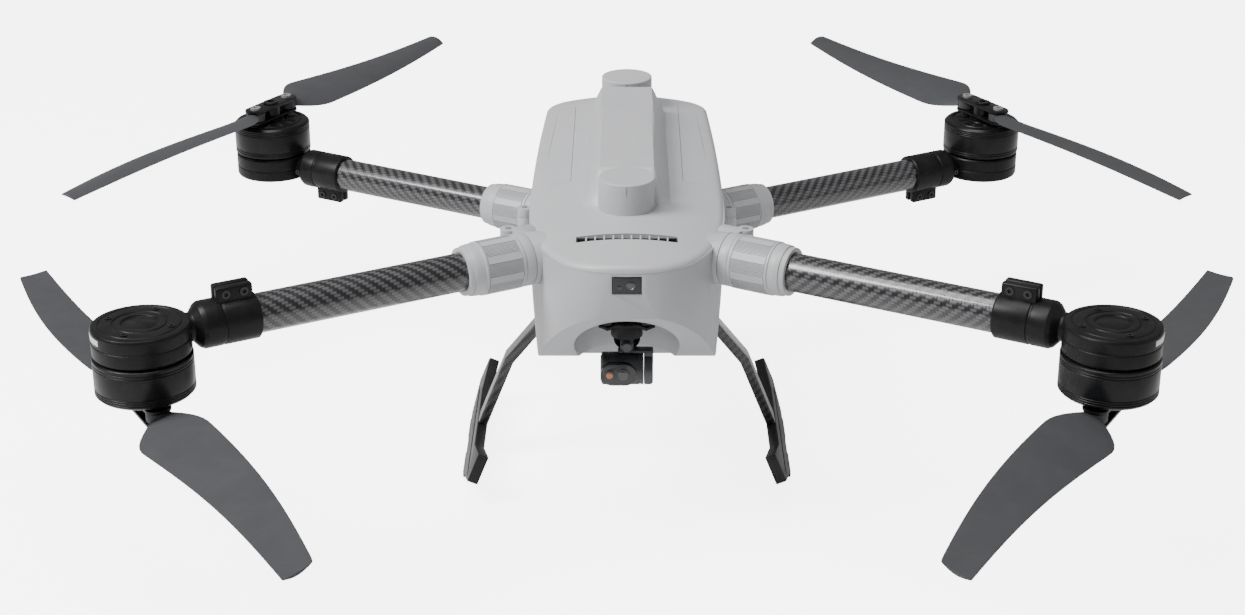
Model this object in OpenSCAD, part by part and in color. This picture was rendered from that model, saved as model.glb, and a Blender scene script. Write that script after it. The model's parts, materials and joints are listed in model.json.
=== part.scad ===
// Folding quadcopter with a gimbal camera: four hinged carbon arms, folding propellers, two skids.
// Frame: X to the right, front at -Y, Z up, origin on the ground midway between the four motors.

/* [Fuselage] */
// Half width of the fuselage at its widest
body_half_w = 79; // [72:1:84]
// Half width of the fuselage at the tail
tail_half_w = 72; // [60:1:76]
// Distance from the origin forward to the nose
nose_len = 231; // [222:1:240]
// Distance from the origin back to the tail
tail_len = 181; // [176:1:200]
// Height of the parting line between lower shell and top cover
parting_z = 243.5; // [242:0.5:245]
// Height of the deck above the parting line, at the middle
deck_rise = 15.5; // [12:0.5:20]
// Wall thickness of the shells
wall = 2.5; // [2:0.1:3.2]
// Height of the flat underside of the front of the fuselage
floor_z = 147; // [146:1:150]

/* [Spine and antennas] */
// Half width of the flat top of the spine
spine_half_w = 22.5; // [18:0.5:26]
// Height of the spine above the deck
spine_rise = 22; // [16:1:28]
// Diameter of each antenna puck
puck_d = 45; // [38:1:50]
// Distance of each antenna puck from the middle of the pair
puck_reach = 132.5; // [125:0.5:140]
// Middle of the pair of antenna pucks along the fuselage
puck_mid_y = 16.5; // [10:0.5:20]

/* [Arms] */
// Sideways distance of the motor axes from the middle
motor_x = 349.5; // [345:0.5:380]
// Fore and aft distance of the motor axes from the middle
motor_y = 316; // [312:0.5:330]
// Height of the front tube axes
front_tube_z = 229.5; // [228:0.5:234]
// Height of the rear tube axes
rear_tube_z = 145; // [140:0.5:146]
// Outer diameter of the carbon tube
tube_d = 30; // [26:0.5:31]
// Wall thickness of the carbon tube
tube_wall = 1.5; // [1:0.1:3]
// Distance of each arm's mating face from the middle, along the fuselage
root_y = 163.86; // [160:0.01:170]
// Space between the lock collar and the lug of the fold pin
pin_clear = 1.1; // [0.6:0.1:4]
// Diameter of the fold pin
pin_d = 5; // [4:0.1:6]

/* [Lock collars] */
// Wall thickness of the lock collar
collar_wall = 2.3; // [1.5:0.1:3]
// Length of the lock collar
collar_len = 43; // [36:1:60]

/* [Motors] */
// Diameter of the motor base
base_d = 72; // [60:1:76]
// Thickness of the motor base
base_h = 23; // [18:1:26]
// Diameter of the motor bell
bell_d = 73; // [60:1:78]
// Height of the motor bell
bell_h = 31; // [26:1:33]
// Distance from the tube axis to the plane of the propeller
prop_plane = 52.5; // [52:0.5:54]

/* [Propellers] */
// Radius of the propeller
prop_r = 292.5; // [260:0.5:292.5]
// Distance of each blade pivot from the motor axis
pivot_r = 24; // [22:0.5:28]
// Diameter of the blade pivot bolts
bolt_d = 6; // [4:0.1:7]
// Largest chord of a blade
chord_max = 52; // [40:1:56]
// Resting angle of the blades from the sideways axis
blade_angle = 60; // [50:1:70]

/* [Landing gear] */
// Distance of the skid's lower edge from the middle
skid_x = 139; // [130:1:150]
// Length of a skid
skid_len = 211; // [180:1:240]
// Middle of the skids along the fuselage
skid_mid_y = -37; // [-50:1:-20]
// Lean of the lower part of a leg from upright
leg_lean = 22; // [18:1:24]

/* [Gimbal camera] */
// Distance of the pan axis back from the nose
gimbal_back = 45; // [41:1:47]
// Diameter of the camera barrel
barrel_d = 26; // [22:0.5:28]
// Width of the camera barrel
barrel_w = 41.5; // [36:0.5:46]
// Height of the tilt axis
tilt_z = 146; // [144:0.5:150]
// Radius of the round camera bay
bay_r = 41.5; // [38:0.5:43]

/* [Hidden] */
$fn = 64;
gap = 0.3;             // clear space between pieces that do not slide on each other
run = 0.05;            // radial clearance of a running fit
mid_y = -74;           // where the fuselage is widest
nose_power = 2.5;      // fullness of the rounded nose
deck_z = parting_z + deck_rise;
hatch_in = spine_half_w + 23.5;  // inner edge of the hatches
spine_z = deck_z + spine_rise;
chin_top_z = 206;
chin_back_y = 66 - nose_len;
bay_y = 49 - nose_len;
vent_y = 49 - nose_len;
bay_roof_z = 202;
gimbal_y = nose_len - gimbal_back;
roll_z = tilt_z + barrel_d / 2 + 6.5;
pan_z = roll_z + 9.5;  // underside of the pan motor
plate_z = bay_roof_z - 15;
damper_t = 2.5;
window_half_w = 11;
window_h = 14;
window_z = parting_z - window_h - 2.5;
large_lens = [3, window_z + 7, 7.1];
small_lens = [-5.5, window_z + 5.5, 3.1];
vent_half_w = 39;
vent_w = 10;
belly_z = 124;
belly_half_w = 44;
boss_h = 12;
belly_front = -108;
belly_back = 150;
flange_t = 8;          // thickness of the flange that closes on the arm root
flange_d = tube_d + 12;
sleeve_d = tube_d + 8;  // part of the knuckle that the collar turns on
collar_d = sleeve_d + 2 * collar_wall;
sleeve_len = 56;
lug_r = pin_d / 2 + 4.1;
pin_offset = collar_d / 2 + lug_r + pin_clear;
lug_t = 7.7;           // half height of the middle lug
lug_top = 16;
clamp_d = tube_d + 6;
clamp_len = 64;
tube_start = 12;
root_len = 30;
shaft_d = 8;
hub_gap = 0.5;
plate_t = 2.5;
blade_t = 8;           // thickness of the blade root between the hub plates
drum_w = 7.4;          // width of the tilt motor drum
neck_y = barrel_d / 2 + 1.5;  // front of the neck that hangs behind the barrel
neck_t = 5.5;
roll_motor_d = 21;
roll_shaft_d = 10.6;
tilt_shaft_d = 6;
skid_h = 27;
skid_t = 9;
strut_t = 8;
strut_w = 20;
leg_rise = 91.5;       // distance from the skid's lower edge up to the bend of the leg
tenon_t = 4.4;         // tongue of the leg in the skid's pocket
tenon_w = 14;
tenon_end = 12;
pad_t = 2;
pad_over = 0.5;        // how far a pad reaches past the skid's faces
skid_z = pad_t + gap + (skid_t + pad_over) * tan(leg_lean);
root_x = body_half_w + 0.4;
arm_reach = norm([motor_x - root_x, motor_y - root_y]);
sweep = atan2(motor_y - root_y, motor_x - root_x);

// Arms: [is left, is rear]
FL = [1, 0];
FR = [0, 0];
RL = [1, 1];
RR = [0, 1];

// Half width of the fuselage at a distance along it, drawn in by inset
function half_w(y, inset) =
    y < mid_y
        ? (body_half_w - inset) * pow(max(0, 1 - pow((mid_y - y) / (nose_len + mid_y - inset), nose_power)),
                                      1 / nose_power)
        : body_half_w - inset - (body_half_w - tail_half_w) * pow((y - mid_y) / (tail_len - mid_y), 2);

// One side of the plan view, nose to tail
function side_points(inset) = concat(
    [for (i = [0:14]) let (a = i * 90 / 14, y = mid_y - (nose_len + mid_y - inset) * cos(a))
        [half_w(y, inset), y]],
    [for (i = [1:6]) let (y = mid_y + (tail_len - 14 - mid_y) * i / 6) [half_w(y, inset), y]],
    [for (a = [15:15:90]) let (w = half_w(tail_len - 14, inset))
        [w - 14 + 14 * cos(a), tail_len - 14 + (14 - inset) * sin(a)]]
);

// Plan view of the fuselage, drawn in by inset
module plan(inset) {
    right = side_points(inset);
    polygon(concat(right, [for (i = [len(right) - 1:-1:1]) [-right[i][0], right[i][1]]]));
}

// A Y-Z profile made into a slab across the fuselage
module slab(half) {
    rotate([90, 0, 90]) translate([0, 0, -half]) linear_extrude(2 * half) children();
}

// Side view of the lower shell, drawn in by inset
module lower_side(inset, top) {
    polygon([
        [-nose_len + inset, top], [-nose_len + inset, parting_z - 4],
        [-nose_len + 3 + inset, chin_top_z + inset * 0.5], [chin_back_y + inset * 0.5, floor_z + inset],
        [tail_len - 3 - inset, floor_z + inset], [tail_len - inset, top]
    ]);
}

// Front view of the lower shell: sides draw in towards the floor
module lower_front(inset, top) {
    rotate([90, 0, 0]) translate([0, 0, -300]) linear_extrude(600)
        polygon([
            [-body_half_w + inset, top], [-body_half_w + inset, parting_z - 20],
            [-tail_half_w + 1 + inset, floor_z + inset],
            [tail_half_w - 1 - inset, floor_z + inset],
            [body_half_w - inset, parting_z - 20], [body_half_w - inset, top]
        ]);
}

// Solid of the lower part of the fuselage
module lower_solid(inset, top) {
    intersection() {
        translate([0, 0, floor_z - 10]) linear_extrude(top - floor_z + 10) plan(inset);
        slab(100) lower_side(inset, top);
        lower_front(inset, top);
    }
}

// The round space under the nose that the camera hangs in
module bay_void(extra) {
    translate([0, bay_y, floor_z - 20]) cylinder(h = bay_roof_z + extra - floor_z + 20, r = bay_r + extra);
}

// Room for the arm roots and their lugs
module arm_pockets() {
    for (a = [FL, FR, RL, RR]) arm_place(a) {
        translate([-root_len - 1, 0, 0]) rotate([0, 90, 0]) cylinder(h = root_len + 20, d = flange_d + 2 * gap);
        translate([-24, 10, -lug_top - gap]) cube([40, pin_offset, 2 * (lug_top + gap)]);
    }
}

module lower_shell() {
    color([0.72, 0.73, 0.74])
    difference() {
        union() {
            difference() {
                lower_solid(0, parting_z);
                lower_solid(wall, parting_z + 1);
            }
            intersection() {
                lower_solid(0.6, parting_z);
                bay_void(wall);
            }
            for (x = [-30, 30]) translate([x, 60, floor_z + wall - 0.5]) cylinder(h = boss_h, d = 8);
        }
        bay_void(0);
        arm_pockets();
        translate([-window_half_w - gap, -nose_len - 2, window_z - gap])
            cube([2 * (window_half_w + gap), 12, window_h + 2 * gap]);
        for (x = [-1, 1], y = [-37, 137]) translate([x * 36, y, floor_z - 1]) cylinder(h = wall + 2, d = 3.2);
    }
}

// Height of the deck along the fuselage, from the nose back
function deck_points() = [
    [-nose_len, parting_z + 3.5], [-nose_len + 5, parting_z + 5], [-nose_len + 16, parting_z + 6.9],
    [-nose_len + 41, deck_z - 6.3], [-147, deck_z - 3.7], [-60, deck_z - 1], [60, deck_z],
    [tail_len - 20, deck_z - 2], [tail_len - 4, deck_z - 4], [tail_len, parting_z + 9]
];

// Solid of the deck, lowered and drawn in by inset
module deck_solid(inset) {
    intersection() {
        translate([0, 0, parting_z - 2]) linear_extrude(40) plan(inset);
        slab(100) polygon(concat([[tail_len, parting_z - 2], [-nose_len, parting_z - 2]],
                                 [for (p = deck_points()) [p[0], p[1] - inset]]));
        rotate([90, 0, 0]) translate([0, 0, -300]) linear_extrude(600)
            polygon(concat(
                [[80, parting_z - 2], [80, deck_z - 9 - inset]],
                [for (i = [7:-1:-7]) let (x = i * 10) [x, deck_z + 3 - 12 * pow(x / 80, 2) - inset]],
                [[-80, deck_z - 9 - inset], [-80, parting_z - 2]]));
    }
}

// Raised spine between the two antennas
module spine_solid(inset) {
    front = puck_mid_y - puck_reach + inset;
    back = puck_mid_y + puck_reach - puck_d / 2 - 1 - inset;
    rotate([90, 0, 0]) translate([0, 0, -back]) linear_extrude(back - front)
        polygon([
            [-spine_half_w - 14 + inset, deck_z - 8], [-spine_half_w + inset, spine_z - inset],
            [spine_half_w - inset, spine_z - inset], [spine_half_w + 14 - inset, deck_z - 8]
        ]);
}

module top_cover() {
    color([0.78, 0.79, 0.80])
    difference() {
        intersection() {
            union() {
                deck_solid(0);
                spine_solid(0);
            }
            translate([-100, -300, parting_z + gap / 2]) cube([200, 600, 60]);
        }
        intersection() {
            union() {
                deck_solid(wall);
                spine_solid(wall);
            }
            translate([-100, belly_front - 85, 0]) cube([200, 360, 400]);
        }
        for (s = [-1, 1]) translate([0, puck_mid_y + s * puck_reach, parting_z - 1])
            cylinder(h = 60, d = puck_d + 2 * gap);
        translate([-vent_half_w - gap, vent_y - gap, parting_z - 1])
            cube([2 * (vent_half_w + gap), vent_w + 2 * gap, 30]);
        arm_pockets();
        for (s = [-1, 1]) hatch_pocket(s);
    }
}

// Outline of one hatch beside the spine, wider at the front
module hatch_outline(s, inset) {
    polygon([
        [s * (hatch_in + inset), -52 + inset], [s * (body_half_w - 9 - inset), -52 + inset],
        [s * (tail_half_w - 10 - inset), 150 - inset], [s * (hatch_in + inset), 150 - inset]
    ]);
}

module hatch_pocket(s) {
    translate([0, 0, parting_z + 6.4]) linear_extrude(30) hatch_outline(s, 0);
}

module hatch_covers() {
    color([0.78, 0.79, 0.80])
    for (s = [-1, 1]) intersection() {
        translate([0, 0, parting_z + 6.4 + gap]) linear_extrude(30) hatch_outline(s, gap);
        deck_solid(0.2);
    }
}

module vent_grille() {
    color([0.10, 0.10, 0.11])
    difference() {
        translate([-vent_half_w, vent_y, parting_z + 3]) cube([2 * vent_half_w, vent_w, 3.5]);
        for (i = [-5:5]) translate([i * 7 - 2.9, vent_y + 1.5, parting_z]) cube([5.8, vent_w - 3, 10]);
    }
}

module camera_window() {
    color([0.16, 0.17, 0.18])
    difference() {
        translate([-window_half_w, -nose_len + 0.5, window_z]) cube([2 * window_half_w, 3, window_h]);
        for (p = [small_lens, large_lens])
            translate([p[0], -nose_len - 1, p[1]]) rotate([-90, 0, 0]) cylinder(h = 10, d = p[2] + 2 * run);
    }
}

module nose_lenses() {
    color([0.05, 0.05, 0.06])
    for (p = [small_lens, large_lens])
        translate([p[0], -nose_len + 0.8, p[1]]) rotate([-90, 0, 0]) cylinder(h = 8, d = p[2]);
}

// A round antenna puck standing on the flight controller tray level
module puck(y, top) {
    color([0.79, 0.80, 0.81])
    translate([0, y, parting_z - 1]) {
        cylinder(h = top - parting_z - 0.5, d = puck_d);
        translate([0, 0, top - parting_z - 0.5]) cylinder(h = 1.5, d1 = puck_d, d2 = puck_d - 3);
    }
}

module front_antenna() {
    puck(puck_mid_y - puck_reach, spine_z);
}

module rear_antenna() {
    puck(puck_mid_y + puck_reach, spine_z + 2);
}

module belly_tray() {
    color([0.68, 0.69, 0.70])
    difference() {
        translate([-belly_half_w, belly_front, belly_z])
            cube([2 * belly_half_w, belly_back - belly_front, floor_z - gap - belly_z]);
        translate([-belly_half_w + wall, belly_front + wall, belly_z + wall])
            cube([2 * (belly_half_w - wall), belly_back - belly_front - 2 * wall, floor_z]);
        for (x = [-20, 20], y = [3, 63]) translate([x, y, belly_z - 1]) cylinder(h = wall + 2, d = 3.4);
    }
}

module battery_pack() {
    color([0.15, 0.15, 0.16])
    translate([-42, -70, floor_z + wall - 0.5 + boss_h + gap]) cube([84, 190, 58]);
}

module flight_controller() {
    color([0.12, 0.14, 0.13])
    translate([-28, -40, parting_z - 16]) cube([56, 90, 14]);
}

// Centre line of a leg: floor, bend and skid, as [x, z]
leg_top = [57.5, floor_z - 5];
leg_bend = skid_point(leg_rise);
leg_foot = skid_point(skid_h + gap);

// A point of a skid's middle plane at a distance up it, as [x, z]
function skid_point(up) = [
    skid_x - skid_t / 2 * cos(leg_lean) - up * sin(leg_lean),
    skid_z - skid_t / 2 * sin(leg_lean) + up * cos(leg_lean)
];

// Direction square to the line from p to q
function across(p, q) = [p[1] - q[1], q[0] - p[0]] / norm(q - p);

// The bent strut from under the fuselage to the skid
module leg_outline() {
    upper = across(leg_top, leg_bend) * strut_t / 2;
    lower = across(leg_bend, leg_foot) * strut_t / 2;
    mitre = (upper + lower) / (1 + upper * lower / pow(strut_t / 2, 2));
    polygon([
        leg_top + upper, leg_bend + mitre, leg_foot + lower,
        leg_foot - lower, leg_bend - mitre, leg_top - upper
    ]);
}

// The tongue at the foot of the strut
module tenon_outline() {
    from = skid_point(skid_h + 2);
    to = skid_point(tenon_end);
    side = across(from, to) * tenon_t / 2;
    polygon([from + side, to + side, to - side, from - side]);
}

module leg(s) {
    color([0.12, 0.12, 0.13])
    mirror([s < 0 ? 1 : 0, 0, 0]) {
        translate([0, skid_mid_y + strut_w / 2, 0]) rotate([90, 0, 0]) linear_extrude(strut_w) leg_outline();
        translate([0, skid_mid_y + tenon_w / 2, 0]) rotate([90, 0, 0]) linear_extrude(tenon_w)
            tenon_outline();
        translate([belly_half_w + gap, skid_mid_y - 16, floor_z - gap - 8]) cube([24, 32, 8]);
    }
}

// Side outline of a skid in the plane of the leg: along the skid, then up the lean
module skid_outline() {
    f = -skid_len / 2;
    polygon([
        [f, 19], [f + 50, 0], [-f - 42, 0], [-f, 14],
        [-f, 14 + skid_h - 4], [-f - 6, 14 + skid_h], [-f - 46, skid_h], [f + 54, skid_h], [f, 19 + skid_h]
    ]);
}

module skid(s) {
    color([0.10, 0.10, 0.11])
    mirror([s < 0 ? 1 : 0, 0, 0])
    translate([skid_x, skid_mid_y, skid_z]) rotate([0, -leg_lean, 0])
    difference() {
        translate([-skid_t, 0, 0]) rotate([90, 0, 90]) linear_extrude(skid_t) skid_outline();
        translate([-1, -skid_len / 2 + 16, 15]) cube([5, skid_len - 40, 3]);
        translate([-skid_t / 2 - tenon_t / 2 - gap, -tenon_w / 2 - gap, tenon_end - gap])
            cube([tenon_t + 2 * gap, tenon_w + 2 * gap, skid_h]);
    }
}

module leg_left() {
    leg(-1);
}

module leg_right() {
    leg(1);
}

module skid_left() {
    skid(-1);
}

module skid_right() {
    skid(1);
}

// Rubber wedges that the leaning skids rest on
module skid_pads() {
    inner = -skid_t - pad_over;
    color([0.06, 0.06, 0.06])
    for (s = [0, 1], y = [-34, 34])
        mirror([s, 0, 0]) translate([skid_x, skid_mid_y + y + 18, 0]) rotate([90, 0, 0]) linear_extrude(36)
            polygon([
                [inner, 0], [pad_over, 0], [pad_over, skid_z - gap + pad_over * tan(leg_lean)],
                [inner, skid_z - gap + inner * tan(leg_lean)]
            ]);
}

module damper_plate() {
    color([0.07, 0.07, 0.08])
    translate([0, -gimbal_y, plate_z]) difference() {
        union() {
            cylinder(h = damper_t, d = 34);
            for (a = [45:90:315]) rotate([0, 0, a]) translate([0, -5, 0]) cube([26, 10, damper_t]);
        }
        translate([0, 0, -1]) cylinder(h = 5, d = 6);
    }
}

module dampers() {
    color([0.14, 0.14, 0.15])
    for (a = [45:90:315]) translate([0, -gimbal_y, plate_z + damper_t + 0.1]) rotate([0, 0, a])
        translate([21.5, 0, 0]) cylinder(h = bay_roof_z - plate_z - damper_t - 0.2, d = 8);
}

module pan_motor() {
    color([0.09, 0.09, 0.10])
    translate([0, -gimbal_y, 0]) {
        translate([0, 0, pan_z]) cylinder(h = plate_z - gap - pan_z, d = 25);
        translate([-6, 0, pan_z]) cube([12, neck_y + neck_t, 4]);
        translate([-6, neck_y, roll_z - 7.5]) cube([12, neck_t, pan_z - roll_z + 8.5]);
        translate([0, neck_y + neck_t, roll_z]) rotate([90, 0, 0]) cylinder(h = neck_t, d = roll_motor_d);
    }
}

// Bar over the camera, with the tilt motor drum at its right end
module roll_arm() {
    drum_x = barrel_w / 2 - drum_w;
    color([0.06, 0.06, 0.07])
    translate([0, -gimbal_y, 0]) {
        translate([0, neck_y - gap, roll_z]) rotate([90, 0, 0]) cylinder(h = neck_y + 6, d = roll_shaft_d);
        translate([-barrel_w / 2, -5, roll_z - 5.3]) cube([barrel_w, 10, 4]);
        translate([drum_x, -5, tilt_z]) cube([drum_w, 10, roll_z - tilt_z - 4.5]);
        translate([drum_x, 0, tilt_z]) rotate([0, 90, 0]) cylinder(h = drum_w, d = barrel_d);
        translate([drum_x - 8, 0, tilt_z]) rotate([0, 90, 0]) cylinder(h = 9, d = tilt_shaft_d);
    }
}

module camera_barrel() {
    color([0.17, 0.18, 0.19])
    translate([-barrel_w / 2, -gimbal_y, tilt_z]) rotate([0, 90, 0]) difference() {
        cylinder(h = barrel_w - drum_w - gap, d = barrel_d);
        translate([0, 0, barrel_w - drum_w - 9]) cylinder(h = 12, d = tilt_shaft_d + 2 * run);
    }
}

// Oval pod with the two lenses, on the front of the barrel
module camera_lenses() {
    color([0.05, 0.05, 0.06])
    difference() {
        translate([-6.5, -gimbal_y, tilt_z + 0.5]) rotate([90, 0, 0]) {
            for (x = [-5, 5]) translate([x, 0, 0]) cylinder(h = 15.2, d = 18);
            translate([-5, -9, 0]) cube([10, 18, 15.2]);
            for (p = [[-7, 4.6], [3.5, 7]]) translate([p[0], 0, 0]) cylinder(h = 16.2, d = p[1] + 4);
        }
        translate([-25, -gimbal_y, tilt_z]) rotate([0, 90, 0]) cylinder(h = 50, d = barrel_d + 2 * run);
    }
}

// Puts a shape drawn along +X at an arm: mating face at the origin, fold pin on the +Y side
module arm_place(a) {
    mirror([a[0], 0, 0]) mirror([0, a[1], 0])
        translate([root_x, -root_y, a[1] ? rear_tube_z : front_tube_z])
            rotate([0, 0, -sweep]) children();
}

// As arm_place, with +Z on the propeller's side: front motors hang, rear motors stand
module motor_place(a) {
    arm_place(a) mirror([0, 0, a[1] ? 0 : 1]) translate([arm_reach, 0, 0]) children();
}

module arm_root(a) {
    color([0.66, 0.67, 0.68])
    arm_place(a) difference() {
        union() {
            translate([-root_len, 0, 0]) rotate([0, 90, 0]) cylinder(h = root_len - 0.2, d = flange_d);
            for (s = [0, 1]) mirror([0, 0, s]) translate([0, 0, lug_t + gap]) {
                translate([0, pin_offset, 0]) cylinder(h = lug_top - lug_t - gap, r = lug_r);
                translate([-20, 12, 0]) cube([19.8, pin_offset - 12, lug_top - lug_t - gap]);
            }
        }
        translate([-root_len - 1, 0, 0]) rotate([0, 90, 0]) cylinder(h = root_len + 2, d = tube_d - 6);
        translate([0, pin_offset, -20]) cylinder(h = 40, d = pin_d + 0.02);
        translate([-lug_r - 2.4, pin_offset - lug_r - 2.4, -lug_t - gap])
            cube([2 * lug_r + 8, 2 * lug_r + 9, 2 * (lug_t + gap)]);
    }
}

module arm_knuckle(a) {
    color([0.70, 0.71, 0.72])
    arm_place(a) difference() {
        union() {
            translate([gap, 0, 0]) rotate([0, 90, 0]) cylinder(h = flange_t, d = flange_d);
            rotate([0, 90, 0]) cylinder(h = sleeve_len, d = sleeve_d);
            translate([0, pin_offset, -lug_t]) cylinder(h = 2 * lug_t, r = lug_r);
            translate([gap, 14, -lug_t]) cube([flange_t, pin_offset - 14, 2 * lug_t]);
        }
        translate([-1, -30, -30]) cube([1 + gap, 30 + pin_offset - lug_r - 0.4, 60]);
        translate([tube_start - gap, 0, 0]) rotate([0, 90, 0]) cylinder(h = 60, d = tube_d + 2 * run);
        translate([-1, 0, 0]) rotate([0, 90, 0]) cylinder(h = 60, d = tube_d - 6);
        translate([0, pin_offset, -20]) cylinder(h = 40, d = pin_d + 2 * run);
    }
}

// Knurled turning collar with a stepped, tapered outer end
module lock_collar(a) {
    x0 = flange_t + 2 * gap;
    color([0.74, 0.75, 0.76])
    arm_place(a) rotate([0, 90, 0]) translate([0, 0, x0]) difference() {
        union() {
            cylinder(h = collar_len - 9, d = collar_d);
            translate([0, 0, collar_len - 9]) cylinder(h = 5, d = collar_d - 1.6);
            translate([0, 0, collar_len - 4]) cylinder(h = 4, d1 = collar_d - 1.6, d2 = sleeve_d + 1.4);
        }
        translate([0, 0, -1]) cylinder(h = collar_len + 2, d = sleeve_d + 2 * run);
    }
}

module arm_tube(a) {
    length = arm_reach - base_d / 2 - 9 - tube_start;
    color([0.14, 0.14, 0.15])
    arm_place(a) translate([tube_start, 0, 0]) rotate([0, 90, 0]) difference() {
        cylinder(h = length, d = tube_d);
        translate([0, 0, -1]) cylinder(h = length + 2, d = tube_d - 2 * tube_wall);
    }
}

module motor_mount(a) {
    color([0.09, 0.09, 0.10])
    motor_place(a) difference() {
        union() {
            translate([0, 0, -base_h / 2]) cylinder(h = base_h, d = base_d);
            translate([-base_d / 2 - clamp_len + 13, 0, 0]) rotate([0, 90, 0]) {
                cylinder(h = clamp_len - 21, d = clamp_d);
                translate([0, 0, clamp_len - 21]) cylinder(h = 7, d1 = clamp_d, d2 = base_h - 1);
                cylinder(h = clamp_len - 3, d = base_h - 1);
            }
            translate([-base_d / 2 - clamp_len + 16, -7, -28]) cube([28, 14, 14]);
        }
        translate([-base_d / 2 - clamp_len, 0, 0]) rotate([0, 90, 0])
            cylinder(h = clamp_len - 8.7, d = tube_d + 2 * run);
        for (x = [7, 21]) translate([-base_d / 2 - clamp_len + 16 + x, -10, -23]) rotate([-90, 0, 0])
            cylinder(h = 20, d = 4.2);
        translate([0, 0, -base_h / 2 - 1]) cylinder(h = base_h + 2, d = shaft_d + 2 * run);
        for (r = [13, 18]) translate([0, 0, -base_h / 2 - 1]) difference() {
            cylinder(h = 2, r = r + 1);
            cylinder(h = 2, r = r - 1);
        }
    }
}

module motor_bell(a) {
    color([0.06, 0.06, 0.07])
    motor_place(a) {
        translate([0, 0, base_h / 2 + hub_gap]) cylinder(h = bell_h, d = bell_d);
        translate([0, 0, -4]) cylinder(h = base_h / 2 + 6, d = shaft_d);
    }
}

// Turns and places a propeller piece: blades point up for the chosen blade angle at rest
module prop_place(a) {
    motor_place(a) translate([0, 0, prop_plane]) rotate([0, 0, sweep + 180 + blade_angle]) children();
}

module hub_plate() {
    for (s = [-1, 1]) translate([s * pivot_r, 0, 0]) cylinder(h = plate_t, r = 10);
    translate([-pivot_r, -10, 0]) cube([2 * pivot_r, 20, plate_t]);
}

module prop_hub(a) {
    seat = prop_plane - base_h / 2 - bell_h - 2 * hub_gap;
    color([0.08, 0.08, 0.09])
    prop_place(a) {
        translate([0, 0, -blade_t / 2 - gap - plate_t]) hub_plate();
        translate([0, 0, blade_t / 2 + gap]) hub_plate();
        translate([0, 0, -seat]) cylinder(h = seat + blade_t / 2 + gap, d = 20);
        for (s = [-1, 1]) translate([s * pivot_r, 0, -blade_t / 2 - gap - plate_t]) {
            cylinder(h = blade_t + 2 * gap + 2 * plate_t, d = bolt_d);
            translate([0, 0, blade_t + 2 * gap + 2 * plate_t]) cylinder(h = 2.2, d = 10);
        }
    }
}

// Chord, sweep and pitch of a blade at a fraction of its span
function chord(t) = t < 0.14 ? 17 + (chord_max - 17) * sin(90 * t / 0.14)
                             : chord_max - (chord_max - 24) * pow((t - 0.14) / 0.86, 1.15);
function chord_mid(t) = 0.16 * (chord(t) - 17) - 9 * sin(180 * t);
function pitch(t) = 13 * pow(1 - t, 1.2) + 4;
function thick(t) = 6 - 3.6 * t;

// Ring of points round one section: upper side out, lower side back
function section(r, t) = [
    for (k = [0:9]) let (
        u = k < 5 ? k / 5 : (10 - k) / 5,
        side = k == 0 || k == 5 ? 0 : (k < 5 ? 1 : -1),
        c = (u - 0.5) * chord(t),
        h = side * thick(t) / 2 * sin(180 * u) + 1.6 * sin(180 * u) - 0.8,
        a = pitch(t)
    ) [r, chord_mid(t) + c * cos(a) - h * sin(a), c * sin(a) + h * cos(a)]
];

// One blade along +X from its pivot, turned over for the opposite spin by the mirror of its arm
module blade_shape() {
    stations = 13;
    span = prop_r - pivot_r;
    rings = [for (i = [0:stations]) section(6 + (span - 6) * i / stations, i / stations)];
    points = [for (ring = rings) for (p = ring) p];
    difference() {
        union() {
            translate([0, 0, -blade_t / 2]) cylinder(h = blade_t, r = 9);
            polyhedron(points = points, faces = concat(
                [[for (k = [9:-1:0]) k]],
                [[for (k = [0:9]) stations * 10 + k]],
                [for (i = [0:stations - 1], k = [0:9]) let (n = (k + 1) % 10)
                    [i * 10 + k, i * 10 + n, i * 10 + 10 + n]],
                [for (i = [0:stations - 1], k = [0:9]) let (n = (k + 1) % 10)
                    [i * 10 + k, i * 10 + 10 + n, i * 10 + 10 + k]]
            ));
        }
        translate([0, 0, -20]) cylinder(h = 40, d = bolt_d + 2 * run);
        translate([-2 - 12, -15, blade_t / 2]) cube([26, 30, 10]);
        translate([-2 - 12, -15, -blade_t / 2 - 10]) cube([26, 30, 10]);
    }
}

module blade(a, far) {
    color([0.26, 0.26, 0.27])
    prop_place(a) rotate([0, 0, far * 180]) translate([pivot_r, 0, 0]) blade_shape();
}

module hinge_pins() {
    color([0.5, 0.5, 0.52])
    for (a = [FL, FR, RL, RR]) arm_place(a) translate([0, pin_offset, -lug_top - 0.5])
        cylinder(h = 2 * lug_top + 1, d = pin_d);
}

lower_shell();
top_cover();
hatch_covers();
vent_grille();
camera_window();
nose_lenses();
front_antenna();
rear_antenna();
belly_tray();
battery_pack();
flight_controller();
leg_left();
leg_right();
skid_left();
skid_right();
skid_pads();
damper_plate();
dampers();
hinge_pins();
pan_motor();
roll_arm();
camera_barrel();
camera_lenses();
arm_root(FL);  // arm_root_fl
arm_root(FR);  // arm_root_fr
arm_root(RL);  // arm_root_rl
arm_root(RR);  // arm_root_rr
arm_knuckle(FL);  // arm_knuckle_fl
arm_knuckle(FR);  // arm_knuckle_fr
arm_knuckle(RL);  // arm_knuckle_rl
arm_knuckle(RR);  // arm_knuckle_rr
lock_collar(FL);  // lock_collar_fl
lock_collar(FR);  // lock_collar_fr
lock_collar(RL);  // lock_collar_rl
lock_collar(RR);  // lock_collar_rr
arm_tube(FL);  // arm_tube_fl
arm_tube(FR);  // arm_tube_fr
arm_tube(RL);  // arm_tube_rl
arm_tube(RR);  // arm_tube_rr
motor_mount(FL);  // motor_mount_fl
motor_mount(FR);  // motor_mount_fr
motor_mount(RL);  // motor_mount_rl
motor_mount(RR);  // motor_mount_rr
motor_bell(FL);  // motor_bell_fl
motor_bell(FR);  // motor_bell_fr
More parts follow.
